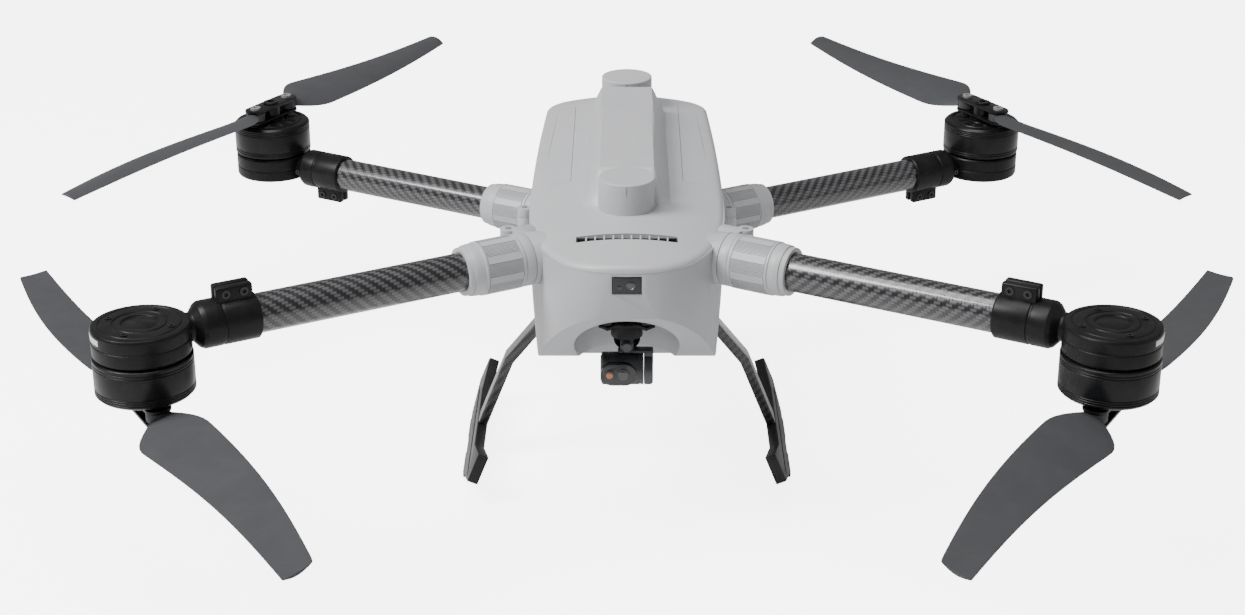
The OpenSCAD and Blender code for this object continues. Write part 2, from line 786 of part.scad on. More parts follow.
motor_bell(RL);  // motor_bell_rl
motor_bell(RR);  // motor_bell_rr
prop_hub(FL);  // prop_hub_fl
prop_hub(FR);  // prop_hub_fr
prop_hub(RL);  // prop_hub_rl
prop_hub(RR);  // prop_hub_rr
blade(FL, 0);  // blade_a_fl
blade(FL, 1);  // blade_b_fl
blade(FR, 0);  // blade_a_fr
blade(FR, 1);  // blade_b_fr
blade(RL, 0);  // blade_a_rl
blade(RL, 1);  // blade_b_rl
blade(RR, 0);  // blade_a_rr
blade(RR, 1);  // blade_b_rr
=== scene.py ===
"""Visual model of a folding quadcopter with a gimbal camera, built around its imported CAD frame."""
import json
import logging
import math
from dataclasses import dataclass
from enum import Enum
from typing import Sequence

import bmesh
import bpy
from mathutils import Matrix, Vector


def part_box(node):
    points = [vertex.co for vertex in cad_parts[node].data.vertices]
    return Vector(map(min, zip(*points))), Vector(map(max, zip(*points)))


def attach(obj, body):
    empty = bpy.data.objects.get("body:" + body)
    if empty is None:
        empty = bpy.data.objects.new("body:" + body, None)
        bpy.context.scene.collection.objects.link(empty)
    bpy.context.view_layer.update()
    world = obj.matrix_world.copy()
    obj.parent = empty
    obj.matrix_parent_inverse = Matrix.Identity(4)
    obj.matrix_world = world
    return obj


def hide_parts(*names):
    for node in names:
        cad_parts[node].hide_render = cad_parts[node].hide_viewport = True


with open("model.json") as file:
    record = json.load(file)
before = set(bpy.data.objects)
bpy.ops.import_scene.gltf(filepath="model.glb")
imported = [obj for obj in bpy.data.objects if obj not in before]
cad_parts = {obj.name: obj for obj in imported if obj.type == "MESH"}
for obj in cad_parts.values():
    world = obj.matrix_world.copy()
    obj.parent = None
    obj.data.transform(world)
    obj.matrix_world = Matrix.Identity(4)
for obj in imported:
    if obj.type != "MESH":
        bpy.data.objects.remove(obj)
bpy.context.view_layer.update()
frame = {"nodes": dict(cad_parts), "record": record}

MM = 0.001
LOG = logging.getLogger("quadcopter")
Point = tuple[float, float, float]
Profile = Sequence[tuple[float, float]]
ARMS = ("fl", "fr", "rl", "rr")
SHARP_DEG = 32.0
CUT_SHARP_DEG = 28.0
BUMP_REACH = 0.0004
WEAVE_DEPTH = 0.12
DUST_AMOUNT = 0.10
ROUGHNESS_SPREAD = 0.12
METAL_SHARE = 0.35
CUT_GAP = 0.3 * MM


class Surface(Enum):
    """How a finish is put together."""

    MOULDED = "moulded plastic"
    CARBON = "carbon weave under clear coat"
    METAL = "turned or pressed metal"
    GLASS = "dark optical glass"


@dataclass(frozen=True)
class Finish:
    """One finish of the aircraft: its colour, gloss and fine texture."""

    name: str
    slot: str
    colour: tuple[float, float, float]
    surface: Surface = Surface.MOULDED
    roughness: float = 0.45
    coat: float = 0.0
    specular: float = 0.5
    grain_mm: float = 0.5
    grain_depth: float = 0.06
    tone_spread: float = 0.05
    # Carbon only: colour of the painted sheen on the tows that lie on top of the twill.
    second: tuple[float, float, float] = (0.1, 0.1, 0.1)
    tow_mm: float = 3.0
    on_uv: bool = False


SHELL = Finish("shell_grey", "shell_grey", (0.40, 0.405, 0.42), roughness=0.42)
DECK = Finish("deck_grey", "deck_grey", (0.455, 0.46, 0.475), roughness=0.40)
COLLAR = Finish("collar_grey", "collar_grey", (0.43, 0.435, 0.45), roughness=0.38)
BLACK = Finish("satin_black", "black_plastic", (0.007, 0.007, 0.0075), roughness=0.36, tone_spread=0.15,
               specular=0.16)
SLOT_BLACK = Finish("vent_black", "black_plastic", (0.006, 0.006, 0.007), roughness=0.6)
SKID = Finish("skid_black", "black_plastic", (0.012, 0.012, 0.013), roughness=0.42, tone_spread=0.12,
              specular=0.25)
BLADE = Finish("blade_grey", "blade_grey", (0.055, 0.056, 0.060), specular=0.2, roughness=0.50, grain_mm=0.35,
               grain_depth=0.10, tone_spread=0.10)
RUBBER = Finish("damper_rubber", "pad_rubber", (0.02, 0.02, 0.02), roughness=0.75, grain_mm=0.3)
LIGHT_WINDOW = Finish("light_window", "collar_grey", (0.62, 0.61, 0.56), roughness=0.25, coat=0.5)
BELL = Finish("bell_black", "bell_black", (0.007, 0.007, 0.008), Surface.METAL, roughness=0.30, specular=0.3,
              grain_depth=0.03)
BARREL = Finish("barrel_grey", "barrel_grey", (0.055, 0.058, 0.063), Surface.METAL, roughness=0.34)
STEEL = Finish("screw_steel", "pin_steel", (0.30, 0.30, 0.31), Surface.METAL, roughness=0.32)
SCREW = Finish("screw_black", "bell_black", (0.012, 0.012, 0.013), Surface.METAL, roughness=0.28)
RING = Finish("ring_black", "black_plastic", (0.012, 0.012, 0.013), roughness=0.24, coat=0.3)
SMOKED = Finish("smoked_window", "smoked_glass", (0.028, 0.029, 0.031), roughness=0.30, specular=0.3)
LENS = Finish("lens_black", "lens_glass", (0.006, 0.006, 0.009), Surface.GLASS, roughness=0.04)
LENS_AMBER = Finish("lens_amber", "lens_glass", (0.42, 0.10, 0.02), Surface.GLASS, roughness=0.08)
# On both carbons the second colour is painted sheen: the tows on top are drawn lighter, brightest along their
# crowns.
TUBE = Finish("tube_carbon", "carbon_tube", (0.008, 0.008, 0.009), Surface.CARBON, roughness=0.32,
              coat=0.7, second=(0.085, 0.085, 0.09), tow_mm=2.4, on_uv=True)
LEG = Finish("leg_carbon", "carbon_leg", (0.010, 0.010, 0.011), Surface.CARBON, roughness=0.34,
             coat=0.4, second=(0.05, 0.05, 0.053), tow_mm=2.0)


class Wires:
    """Short calls that build one node tree."""

    def __init__(self, tree: bpy.types.NodeTree) -> None:
        """Take a tree to build.

        Args:
            tree: The tree.
        """
        self.tree = tree

    def node(self, kind: str, **values: float) -> bpy.types.Node:
        """Add a node.

        Args:
            kind: Blender's name of the node type.
            values: Value of each named input.

        Returns:
            The new node.
        """
        node = self.tree.nodes.new(kind)
        for name, value in values.items():
            node.inputs[name].default_value = value
        return node

    def link(self, source: bpy.types.Node, out: str | int, target: bpy.types.Node, into: str | int) -> None:
        """Join an output to an input.

        Args:
            source: Node that the link leaves.
            out: Its output.
            target: Node that the link enters.
            into: Its input.
        """
        self.tree.links.new(source.outputs[out], target.inputs[into])

    def feed(self, value: object, socket: bpy.types.NodeSocket) -> None:
        """Give an input a number or another node's output.

        Args:
            value: Number or socket.
            socket: The input.
        """
        if isinstance(value, (int, float)):
            socket.default_value = value
        else:
            self.tree.links.new(value, socket)

    def maths(self, operation: str, first: object, second: object = 0.0) -> bpy.types.NodeSocket:
        """Add a Math node.

        Args:
            operation: Blender's name of the operation.
            first: Socket or number for the first input.
            second: Socket or number for the second input, if it has one.

        Returns:
            The node's output socket.
        """
        node = self.node("ShaderNodeMath")
        node.operation = operation
        self.feed(first, node.inputs[0])
        self.feed(second, node.inputs[1])
        return node.outputs[0]

    def blend(self, factor: bpy.types.NodeSocket, dark: Sequence[float],
              light: Sequence[float]) -> bpy.types.Node:
        """Add a mix between two colours.

        Args:
            factor: Socket that drives the mix.
            dark: Colour at factor 0.
            light: Colour at factor 1.

        Returns:
            The Mix node; its colour inputs are 6 and 7 and its colour output is 2.
        """
        node = self.node("ShaderNodeMix")
        node.data_type = "RGBA"
        self.feed(factor, node.inputs[0])
        node.inputs[6].default_value = (*dark, 1.0)
        node.inputs[7].default_value = (*light, 1.0)
        return node

    def sockets(self, inputs: dict[str, str],
                outputs: dict[str, str]) -> tuple[bpy.types.Node, bpy.types.Node]:
        """Give the tree its named inputs and outputs.

        Args:
            inputs: Kind of each input.
            outputs: Kind of each output.

        Returns:
            The tree's input node and its output node.
        """
        for side, entries in (("INPUT", inputs), ("OUTPUT", outputs)):
            for label, kind in entries.items():
                self.tree.interface.new_socket(name=label, in_out=side, socket_type=f"NodeSocket{kind}")
        return self.node("NodeGroupInput"), self.node("NodeGroupOutput")


class Groups:
    """Shader node groups shared by the finishes, each built once."""

    _made: dict[str, bpy.types.NodeTree] = {}

    @classmethod
    def get(cls, name: str) -> bpy.types.NodeTree:
        """Return a group, built on first use.

        Args:
            name: "grain", "weave" or "dust".

        Returns:
            The group; its first input is a place and its second is a number.
        """
        if name not in cls._made:
            builders = {"grain": cls._grain, "weave": cls._weave, "dust": cls._dust}
            cls._made[name] = bpy.data.node_groups.new(name, "ShaderNodeTree")
            builders[name](Wires(cls._made[name]))
        return cls._made[name]

    @staticmethod
    def _grain(wires: Wires) -> None:
        """Fine moulded grain with slow cloudy tone.

        Args:
            wires: The empty group.
        """
        source, sink = wires.sockets({"Vector": "Vector", "Size": "Float"},
                                     {"Tone": "Float", "Height": "Float"})
        inverse = wires.maths("DIVIDE", 1.0, source.outputs["Size"])
        fine = wires.node("ShaderNodeTexNoise", Detail=3.0)
        cloud = wires.node("ShaderNodeTexNoise", Scale=22.0, Detail=4.0)
        wires.feed(inverse, fine.inputs["Scale"])
        for noise, label in ((fine, "Height"), (cloud, "Tone")):
            wires.link(source, "Vector", noise, "Vector")
            wires.link(noise, "Fac", sink, label)

    @staticmethod
    def _weave(wires: Wires) -> None:
        """Two-over-two twill of flat tows, with painted sheen on the tows that lie on top.

        Args:
            wires: The empty group.
        """
        source, sink = wires.sockets({"Vector": "Vector", "Tow": "Float"},
                                     {"Mask": "Float", "Height": "Float"})
        split = wires.node("ShaderNodeSeparateXYZ")
        wires.link(source, "Vector", split, 0)
        across = wires.maths("DIVIDE", split.outputs["X"], source.outputs["Tow"])
        along = wires.maths("DIVIDE", split.outputs["Y"], source.outputs["Tow"])
        step = wires.maths("SUBTRACT", wires.maths("FLOOR", across), wires.maths("FLOOR", along))
        over = wires.maths("LESS_THAN", wires.maths("FLOORED_MODULO", step, 4.0), 1.5)
        crown = [wires.maths("SINE", wires.maths("MULTIPLY", wires.maths("FRACT", way), math.pi))
                 for way in (across, along)]
        height = wires.maths("ADD", wires.maths("MULTIPLY", crown[0], over),
                             wires.maths("MULTIPLY", crown[1], wires.maths("SUBTRACT", 1.0, over)))
        # Painted sheen: lighter on the tows that lie on top, brightest along their crowns; the twill layout
        # itself is real.
        soft = wires.maths("MULTIPLY", over, wires.maths("POWER", height, 0.5))
        wires.feed(soft, sink.inputs["Mask"])
        wires.feed(height, sink.inputs["Height"])

    @staticmethod
    def _dust(wires: Wires) -> None:
        """Thin patches of dust and handling marks.

        Args:
            wires: The empty group.
        """
        source, sink = wires.sockets({"Vector": "Vector", "Amount": "Float"}, {"Mask": "Float"})
        blot = wires.node("ShaderNodeTexNoise", Scale=60.0, Detail=6.0, Roughness=0.7)
        wires.link(source, "Vector", blot, "Vector")
        lifted = wires.maths("MAXIMUM", wires.maths("SUBTRACT", blot.outputs["Fac"], 0.45), 0.0)
        spread = wires.maths("MULTIPLY", wires.maths("MULTIPLY", lifted, 4.0), source.outputs["Amount"])
        wires.feed(wires.maths("MINIMUM", spread, 1.0), sink.inputs["Mask"])


class Paintshop:
    """Makes each finish's material once and hands it out."""

    def __init__(self) -> None:
        """Start with no materials."""
        self._materials: dict[str, bpy.types.Material] = {}

    def get(self, finish: Finish) -> bpy.types.Material:
        """Return the material of a finish.

        Args:
            finish: The finish.

        Returns:
            Its material, built on first use.
        """
        if finish.name not in self._materials:
            self._materials[finish.name] = self._build(finish)
        return self._materials[finish.name]

    @staticmethod
    def _group(wires: Wires, name: str, vector: bpy.types.NodeSocket, size: float) -> bpy.types.Node:
        """Place a shared group and feed its place and its number.

        Args:
            wires: The material's tree.
            name: Name of the group.
            vector: Socket with the place.
            size: The group's own number.

        Returns:
            The group's node.
        """
        node = wires.node("ShaderNodeGroup")
        node.node_tree = Groups.get(name)
        wires.feed(vector, node.inputs[0])
        wires.feed(size, node.inputs[1])
        return node

    def _build(self, finish: Finish) -> bpy.types.Material:
        """Build the material of one finish.

        Args:
            finish: The finish.

        Returns:
            The new material.
        """
        material = bpy.data.materials.new(finish.name)
        material.use_nodes = True
        wires = Wires(material.node_tree)
        shader = material.node_tree.nodes["Principled BSDF"]
        place = wires.node("ShaderNodeTexCoord")
        source = place.outputs["UV"]
        if not finish.on_uv:
            split, flat = wires.node("ShaderNodeSeparateXYZ"), wires.node("ShaderNodeCombineXYZ")
            wires.link(place, "Object", split, 0)
            wires.feed(wires.maths("ADD", split.outputs["X"], split.outputs["Y"]), flat.inputs["X"])
            wires.link(split, "Z", flat, "Y")
            source = flat.outputs["Vector"]
        grain = self._group(wires, "grain", place.outputs["Object"], finish.grain_mm * MM)
        low = [c * (1 - finish.tone_spread) for c in finish.colour]
        high = [min(1.0, c * (1 + finish.tone_spread)) for c in finish.colour]
        colour = wires.blend(grain.outputs["Tone"], low, high)
        height, depth = grain.outputs["Height"], finish.grain_depth
        if finish.surface is Surface.CARBON:
            # Carbon: real twill pattern with painted sheen, the tows on top blended toward the lighter second
            # colour.
            weave = self._group(wires, "weave", source, finish.tow_mm * MM)
            weave_with_sheen = wires.blend(weave.outputs["Mask"], finish.colour, finish.second)
            wires.link(colour, 2, weave_with_sheen, 6)
            colour, height, depth = weave_with_sheen, weave.outputs["Height"], WEAVE_DEPTH
        dust = self._group(wires, "dust", place.outputs["Object"], DUST_AMOUNT)
        dusted = wires.blend(dust.outputs["Mask"], finish.colour, [c * 0.8 + 0.06 for c in finish.colour])
        wires.link(colour, 2, dusted, 6)
        wires.link(dusted, 2, shader, "Base Color")
        rough = wires.maths("ADD", wires.maths("MULTIPLY", grain.outputs["Tone"], ROUGHNESS_SPREAD),
                            finish.roughness - ROUGHNESS_SPREAD / 2)
        wires.feed(rough, shader.inputs["Roughness"])
        bump = wires.node("ShaderNodeBump", Strength=depth, Distance=BUMP_REACH)
        wires.feed(height, bump.inputs["Height"])
        wires.link(bump, "Normal", shader, "Normal")
        glass = finish.surface is Surface.GLASS
        values = {"Specular IOR Level": finish.specular, "Coat Weight": 1.0 if glass else finish.coat,
                  "Coat Roughness": 0.02 if glass else 0.08,
                  "Metallic": METAL_SHARE if finish.surface is Surface.METAL else 0.0}
        for name, value in values.items():
            shader.inputs[name].default_value = value
        return material


PAINT = Paintshop()


def soften(profile: Profile, radius: float, steps: int = 4) -> list[tuple[float, float]]:
    """Round the corners of an open profile.

    Args:
        profile: Points of the profile.
        radius: How far from each corner the rounding starts.
        steps: Steps of each rounding.

    Returns:
        The new profile.
    """
    points = [Vector(p) for p in profile]
    result = [tuple(points[0])]
    for before, here, after in zip(points, points[1:], points[2:]):
        first, second = before - here, after - here
        reach = min(radius, first.length * 0.45, second.length * 0.45)
        start, end = here + first.normalized() * reach, here + second.normalized() * reach
        for i in range(steps + 1):
            t = i / steps
            result.append(tuple(start.lerp(here, t).lerp(here.lerp(end, t), t)))
    result.append(tuple(points[-1]))
    return result


def turned(axis: str, degrees: float, where: Sequence[float] = (0.0, 0.0, 0.0)) -> Matrix:
    """A turn about one axis, then a move.

    Args:
        axis: "X", "Y" or "Z".
        degrees: The turn.
        where: The move, in metres.

    Returns:
        The matrix.
    """
    return Matrix.Translation(where) @ Matrix.Rotation(math.radians(degrees), 4, axis)


def smooth(data: bpy.types.Mesh, sharp_deg: float) -> None:
    """Shade a mesh smooth up to an angle.

    Args:
        data: The mesh.
        sharp_deg: Angle above which an edge stays sharp.
    """
    data.polygons.foreach_set("use_smooth", [True] * len(data.polygons))
    data.set_sharp_from_angle(angle=math.radians(sharp_deg))


def evaluated(piece: bpy.types.Object) -> bpy.types.Mesh:
    """Take what an object's modifiers make, and remove them.

    Args:
        piece: The object.

    Returns:
        The evaluated mesh.
    """
    bpy.context.view_layer.update()
    graph = bpy.context.evaluated_depsgraph_get()
    data = bpy.data.meshes.new_from_object(piece.evaluated_get(graph))
    piece.modifiers.clear()
    return data


def outward(mesh: bmesh.types.BMesh) -> None:
    """Turn the faces of a closed mesh outward and give it a UV map.

    Args:
        mesh: The mesh.
    """
    bmesh.ops.recalc_face_normals(mesh, faces=mesh.faces)
    if mesh.calc_volume(signed=True) < 0:
        bmesh.ops.reverse_faces(mesh, faces=mesh.faces[:])
    mesh.loops.layers.uv.verify()


class Workshop:
    """Mesh building in local coordinates, placed through a matrix and attached to its body."""

    @staticmethod
    def lathe(profile: Profile, segments: int = 96, closed: bool = False) -> bmesh.types.BMesh:
        """Turn a profile round the local Z axis, with a UV map in metres.

        Args:
            profile: Radius and height of each point, in millimetres.
            segments: Steps round the axis.
            closed: Whether the last point joins the first, as on a tube.

        Returns:
            The turned mesh.
        """
        mesh = bmesh.new()
        rings: list[list[bmesh.types.BMVert]] = []
        radii = [radius * MM for radius, _ in profile]
        for radius, (_, height) in zip(radii, profile):
            count = segments if radius > 0 else 1
            rings.append([mesh.verts.new((radius * math.cos(2 * math.pi * i / segments),
                                          radius * math.sin(2 * math.pi * i / segments), height * MM))
                          for i in range(count)])
        uv = mesh.loops.layers.uv.new("UVMap")
        pairs = list(zip(rings, rings[1:])) + ([(rings[-1], rings[0])] if closed else [])
        for number, (low, high) in enumerate(pairs):
            reach = max(radii[number], radii[(number + 1) % len(radii)])
            for i in range(segments):
                j = (i + 1) % segments
                corners = [low[i % len(low)], low[j % len(low)], high[j % len(high)], high[i % len(high)]]
                unique = list(dict.fromkeys(corners))
                if len(unique) < 3:
                    continue
                face = mesh.faces.new(unique)
                for loop in face.loops:
                    step = i + 1 if loop.vert in (low[j % len(low)], high[j % len(high)]) else i
                    loop[uv].uv = (2 * math.pi * reach * step / segments, loop.vert.co.z)
        bmesh.ops.recalc_face_normals(mesh, faces=mesh.faces)
        return mesh

    @classmethod
    def spindle(cls, profile: Profile, radius: float, steps: int, segments: int) -> bmesh.types.BMesh:
        """A turned solid with flat ends and rounded corners.

        Args:
            profile: Radius and height of each point, in millimetres.
            radius: How far from each corner the rounding starts.
            steps: Steps of each rounding.
            segments: Steps round the axis.

        Returns:
            The turned mesh.
        """
        return cls.lathe([(0.0, profile[0][1]), *soften(profile, radius, steps), (0.0, profile[-1][1])],
                         segments)

    @staticmethod
    def loft(rings: Sequence[Sequence[Point]]) -> bmesh.types.BMesh:
        """Skin equal rings of points and close both ends.

        Args:
            rings: Rings of points in metres, all of one length.

        Returns:
            The closed mesh, with a UV map in metres round and along it.
        """
        mesh = bmesh.new()
        uv = mesh.loops.layers.uv.new("UVMap")
        rows = [[mesh.verts.new(p) for p in ring] for ring in rings]
        count = len(rows[0])
        girth = [0.0]
        for k in range(count):
            girth.append(girth[-1] + (Vector(rings[0][(k + 1) % count]) - Vector(rings[0][k])).length)
        length = 0.0
        for low, high in zip(rows, rows[1:]):
            step = (sum((v.co for v in high), Vector()) - sum((v.co for v in low), Vector())).length / count
            for k in range(count):
                n = (k + 1) % count
                face = mesh.faces.new((low[k], low[n], high[n], high[k]))
                values = ((girth[k], length), (girth[k + 1], length), (girth[k + 1], length + step),
                          (girth[k], length + step))
                for loop, value in zip(face.loops, values):
                    loop[uv].uv = value
            length += step
        mesh.faces.new(list(reversed(rows[0])))
        mesh.faces.new(rows[-1])
        bmesh.ops.recalc_face_normals(mesh, faces=mesh.faces)
        return mesh

    @staticmethod
    def block(low: Sequence[float], high: Sequence[float], radius_mm: float) -> bmesh.types.BMesh:
        """A box with rounded edges.

        Args:
            low: Lowest corner, in metres.
            high: Highest corner, in metres.
            radius_mm: Radius of the edges.

        Returns:
            The box.
        """
        mesh = bmesh.new()
        bmesh.ops.create_cube(mesh, size=1.0)
        centre = (Vector(low) + Vector(high)) / 2
        size = Vector(high) - Vector(low)
        for vert in mesh.verts:
            vert.co = Vector(c * s for c, s in zip(vert.co, size)) + centre
        bmesh.ops.bevel(mesh, geom=mesh.edges[:], offset=radius_mm * MM, segments=3, affect="EDGES",
                        profile=0.5, clamp_overlap=True)
        mesh.loops.layers.uv.verify()
        return mesh

    @staticmethod
    def prism(outline: Profile, low: float, high: float, radius: float = 0.0) -> bmesh.types.BMesh:
        """A flat outline given thickness along Z, with rounded rims. All sizes are in millimetres.

        Args:
            outline: Points of the outline.
            low: Height of the underside.
            high: Height of the top.
            radius: Radius of the rims.

        Returns:
            The plate.
        """
        mesh = bmesh.new()
        face = mesh.faces.new([mesh.verts.new((x * MM, y * MM, low * MM)) for x, y in outline])
        made = bmesh.ops.extrude_face_region(mesh, geom=[face])
        top = [v for v in made["geom"] if isinstance(v, bmesh.types.BMVert)]
        bmesh.ops.translate(mesh, verts=top, vec=(0, 0, (high - low) * MM))
        outward(mesh)
        if radius:
            rims = [e for e in mesh.edges if abs(e.verts[0].co.z - e.verts[1].co.z) < 1e-9]
            bmesh.ops.bevel(mesh, geom=rims, offset=radius * MM, segments=2, affect="EDGES", profile=0.5,
                            clamp_overlap=True)
        return mesh

    @staticmethod
    def join(meshes: Sequence[bmesh.types.BMesh]) -> bmesh.types.BMesh:
        """Put several meshes in one.

        Args:
            meshes: Meshes, which are freed.

        Returns:
            One mesh that holds them all.
        """
        whole = bmesh.new()
        whole.loops.layers.uv.new("UVMap")
        for mesh in meshes:
            data = bpy.data.meshes.new("part")
            mesh.to_mesh(data)
            mesh.free()
            whole.from_mesh(data)
            bpy.data.meshes.remove(data)
        return whole

    @staticmethod
    def moved(mesh: bmesh.types.BMesh, matrix: Matrix) -> bmesh.types.BMesh:
        """Move a mesh through a matrix, keeping its faces outward.

        Args:
            mesh: Mesh to move.
            matrix: Where it goes.

        Returns:
            The same mesh.
        """
        mesh.transform(matrix)
        if matrix.to_3x3().determinant() < 0:
            bmesh.ops.reverse_faces(mesh, faces=mesh.faces[:])
        return mesh

    @staticmethod
    def to_object(name: str, mesh: bmesh.types.BMesh, finish: Finish,
                  sharp_deg: float = SHARP_DEG) -> bpy.types.Object:
        """Make a mesh an object with smooth shading up to an angle.

        Args:
            name: Name of the piece.
            mesh: The mesh, which is freed.
            finish: Its finish.
            sharp_deg: Angle above which an edge stays sharp.

        Returns:
            The new object.
        """
        data = bpy.data.meshes.new(name)
        mesh.to_mesh(data)
        mesh.free()
        smooth(data, sharp_deg)
        data.materials.append(PAINT.get(finish))
        piece = bpy.data.objects.new(name, data)
        bpy.context.scene.collection.objects.link(piece)
        return piece

    @classmethod
    def piece(cls, name: str, mesh: bmesh.types.BMesh, finish: Finish, body: str,
              instead_of: Sequence[str] = (), sharp_deg: float = SHARP_DEG) -> bpy.types.Object:
        """Make a piece, attach it to its body and hide the CAD nodes that it stands for.

        Args:
            name: Name of the piece.
            mesh: Its mesh.
            finish: Its finish.
            body: Body that it rides on.
            instead_of: CAD nodes that it stands for.
            sharp_deg: Angle above which an edge stays sharp.

        Returns:
            The new object.
        """
        return cls.register(cls.to_object(name, mesh, finish, sharp_deg), finish, body, instead_of)

    @staticmethod
    def register(piece: bpy.types.Object, finish: Finish, body: str,
                 instead_of: Sequence[str] = ()) -> bpy.types.Object:
        """Let a piece ride on its body and hide the CAD nodes that it stands for.

        Args:
            piece: The finished object.
            finish: Its main finish; not used.
            body: Body that it rides on.
            instead_of: CAD nodes that it stands for.

        Returns:
            The same object.
        """
        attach(piece, body)
        if instead_of:
            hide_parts(*instead_of)
        LOG.info("%s on %s: %d faces", piece.name, body, len(piece.data.polygons))
        return piece

    @classmethod
    def cut(cls, piece: bpy.types.Object, cutters: Sequence[bmesh.types.BMesh], finish: Finish,
            operation: str = "DIFFERENCE") -> None:
        """Cut shapes out of a piece, or keep only what lies in them.

        Args:
            piece: Object to cut.
            cutters: Closed meshes to take away or keep.
            finish: Finish of the cut faces.
            operation: Blender's name of the operation.
        """
        for number, mesh in enumerate(cutters):
            tool = cls.to_object(f"{piece.name}_cutter_{number}", mesh, finish)
            boolean = piece.modifiers.new("cut", "BOOLEAN")
            boolean.operation = operation
            boolean.solver = "MANIFOLD"
            boolean.object = tool
            old, piece.data = piece.data, evaluated(piece)
            bpy.data.meshes.remove(old)
            bpy.data.objects.remove(tool)
        smooth(piece.data, CUT_SHARP_DEG)


class Repeater:
    """Geometry Nodes trees that repeat a small shape round a ring or along a line."""

    _trees: dict[str, bpy.types.NodeTree] = {}

    @classmethod
    def _tree(cls, kind: str) -> bpy.types.NodeTree:
        """Return a tree, built on first use.

        Args:
            kind: "ring", "screw" or "slat".

        Returns:
            The tree, with named inputs for its sizes.
        """
        if kind in cls._trees:
            return cls._trees[kind]
        tree = bpy.data.node_groups.new(f"repeat_{kind}", "GeometryNodeTree")
        wires = Wires(tree)
        inputs = {"Geometry": "Geometry", "Count": "Int", "Size": "Vector", "Material": "Material"}
        inputs |= ({"Group": "Int", "Filled": "Int", "Radius": "Float", "Offset": "Float"} if kind == "ring"
                   else {"Start": "Vector", "Step": "Vector", "Turn": "Vector"})
        source, sink = wires.sockets(inputs, {"Geometry": "Geometry"})
        stand = wires.node("GeometryNodeInstanceOnPoints")
        if kind == "screw":
            cls._screw(wires, source, stand)
        else:
            block = wires.node("GeometryNodeMeshCube")
            wires.link(source, "Size", block, "Size")
            wires.link(block, "Mesh", stand, "Instance")
        if kind == "ring":
            cls._circle(wires, source, stand)
        else:
            line = wires.node("GeometryNodeMeshLine")
            for label, into in (("Count", "Count"), ("Start", "Start Location"), ("Step", "Offset")):
                wires.link(source, label, line, into)
            wires.link(line, "Mesh", stand, "Points")
            wires.link(source, "Turn", stand, "Rotation")
        real, paint = wires.node("GeometryNodeRealizeInstances"), wires.node("GeometryNodeSetMaterial")
        wires.link(stand, "Instances", real, 0)
        wires.link(real, 0, paint, "Geometry")
        wires.link(source, "Material", paint, "Material")
        wires.link(paint, "Geometry", sink, 0)
        cls._trees[kind] = tree
        return tree

    @staticmethod
    def _circle(wires: Wires, source: bpy.types.Node, stand: bpy.types.Node) -> None:
        """Stand the shapes round a ring, in groups with gaps between.

        Args:
            wires: The tree.
            source: Its input node.
            stand: The node that stands the shapes on points.
        """
        circle, index = wires.node("GeometryNodeMeshCircle"), wires.node("GeometryNodeInputIndex")
        wires.link(source, "Count", circle, "Vertices")
        wires.link(source, "Radius", circle, "Radius")
        share = wires.maths("FLOORED_MODULO", index.outputs[0], source.outputs["Group"])
        chosen = wires.maths("LESS_THAN", share, source.outputs["Filled"])
        part = wires.maths("DIVIDE", index.outputs[0], source.outputs["Count"])
        spin, rise = wires.node("ShaderNodeCombineXYZ"), wires.node("ShaderNodeCombineXYZ")
        wires.feed(wires.maths("MULTIPLY", part, 2 * math.pi), spin.inputs["Z"])
        wires.link(source, "Offset", rise, "Z")
        lift = wires.node("GeometryNodeTransform")
        wires.link(rise, "Vector", lift, "Translation")
        wires.link(circle, "Mesh", lift, "Geometry")
        wires.link(lift, "Geometry", stand, "Points")
        wires.feed(chosen, stand.inputs["Selection"])
        wires.link(spin, "Vector", stand, "Rotation")

    @staticmethod
    def _screw(wires: Wires, source: bpy.types.Node, stand: bpy.types.Node) -> None:
        """Make the repeated shape a screw head with a hexagon socket.

        Args:
            wires: The tree.
            source: Its input node.
            stand: The node that stands the shapes on points.
        """
        split = wires.node("ShaderNodeSeparateXYZ")
        wires.link(source, "Size", split, 0)
        head = wires.node("GeometryNodeMeshCylinder", Vertices=24)
        socket = wires.node("GeometryNodeMeshCylinder", Vertices=6)
        for shape, radius in ((head, "X"), (socket, "Z")):
            wires.link(split, radius, shape, "Radius")
            wires.link(split, "Y", shape, "Depth")
        lift, rise = wires.node("GeometryNodeTransform"), wires.node("ShaderNodeCombineXYZ")
        wires.feed(wires.maths("MULTIPLY", split.outputs["Y"], 0.45), rise.inputs["Z"])
        wires.link(rise, "Vector", lift, "Translation")
        wires.link(socket, "Mesh", lift, "Geometry")
        cut = wires.node("GeometryNodeMeshBoolean")
        cut.operation = "DIFFERENCE"
        wires.link(head, "Mesh", cut, "Mesh 1")
        wires.link(lift, "Geometry", cut, "Mesh 2")
        wires.link(cut, "Mesh", stand, "Instance")

    @classmethod
    def ring(cls, count: int, group: int, filled: int, radius: float, block: Point, offset: float,
             finish: Finish) -> bmesh.types.BMesh:
        """Blocks round a ring about the local Z axis. All sizes are in millimetres.

        Args:
            count: Places round the whole ring.
            group: Places in each group.
            filled: Places of a group that hold a block.
            radius: Radius of the blocks' middles.
            block: Size of a block: outward, round and along.
            offset: Height of the ring.
            finish: Finish of the blocks.

        Returns:
            The mesh of all the blocks.
        """
        return cls._run("ring", finish, {"Count": count, "Group": group, "Filled": filled,
                                         "Radius": radius * MM, "Size": [v * MM for v in block],
                                         "Offset": offset * MM})

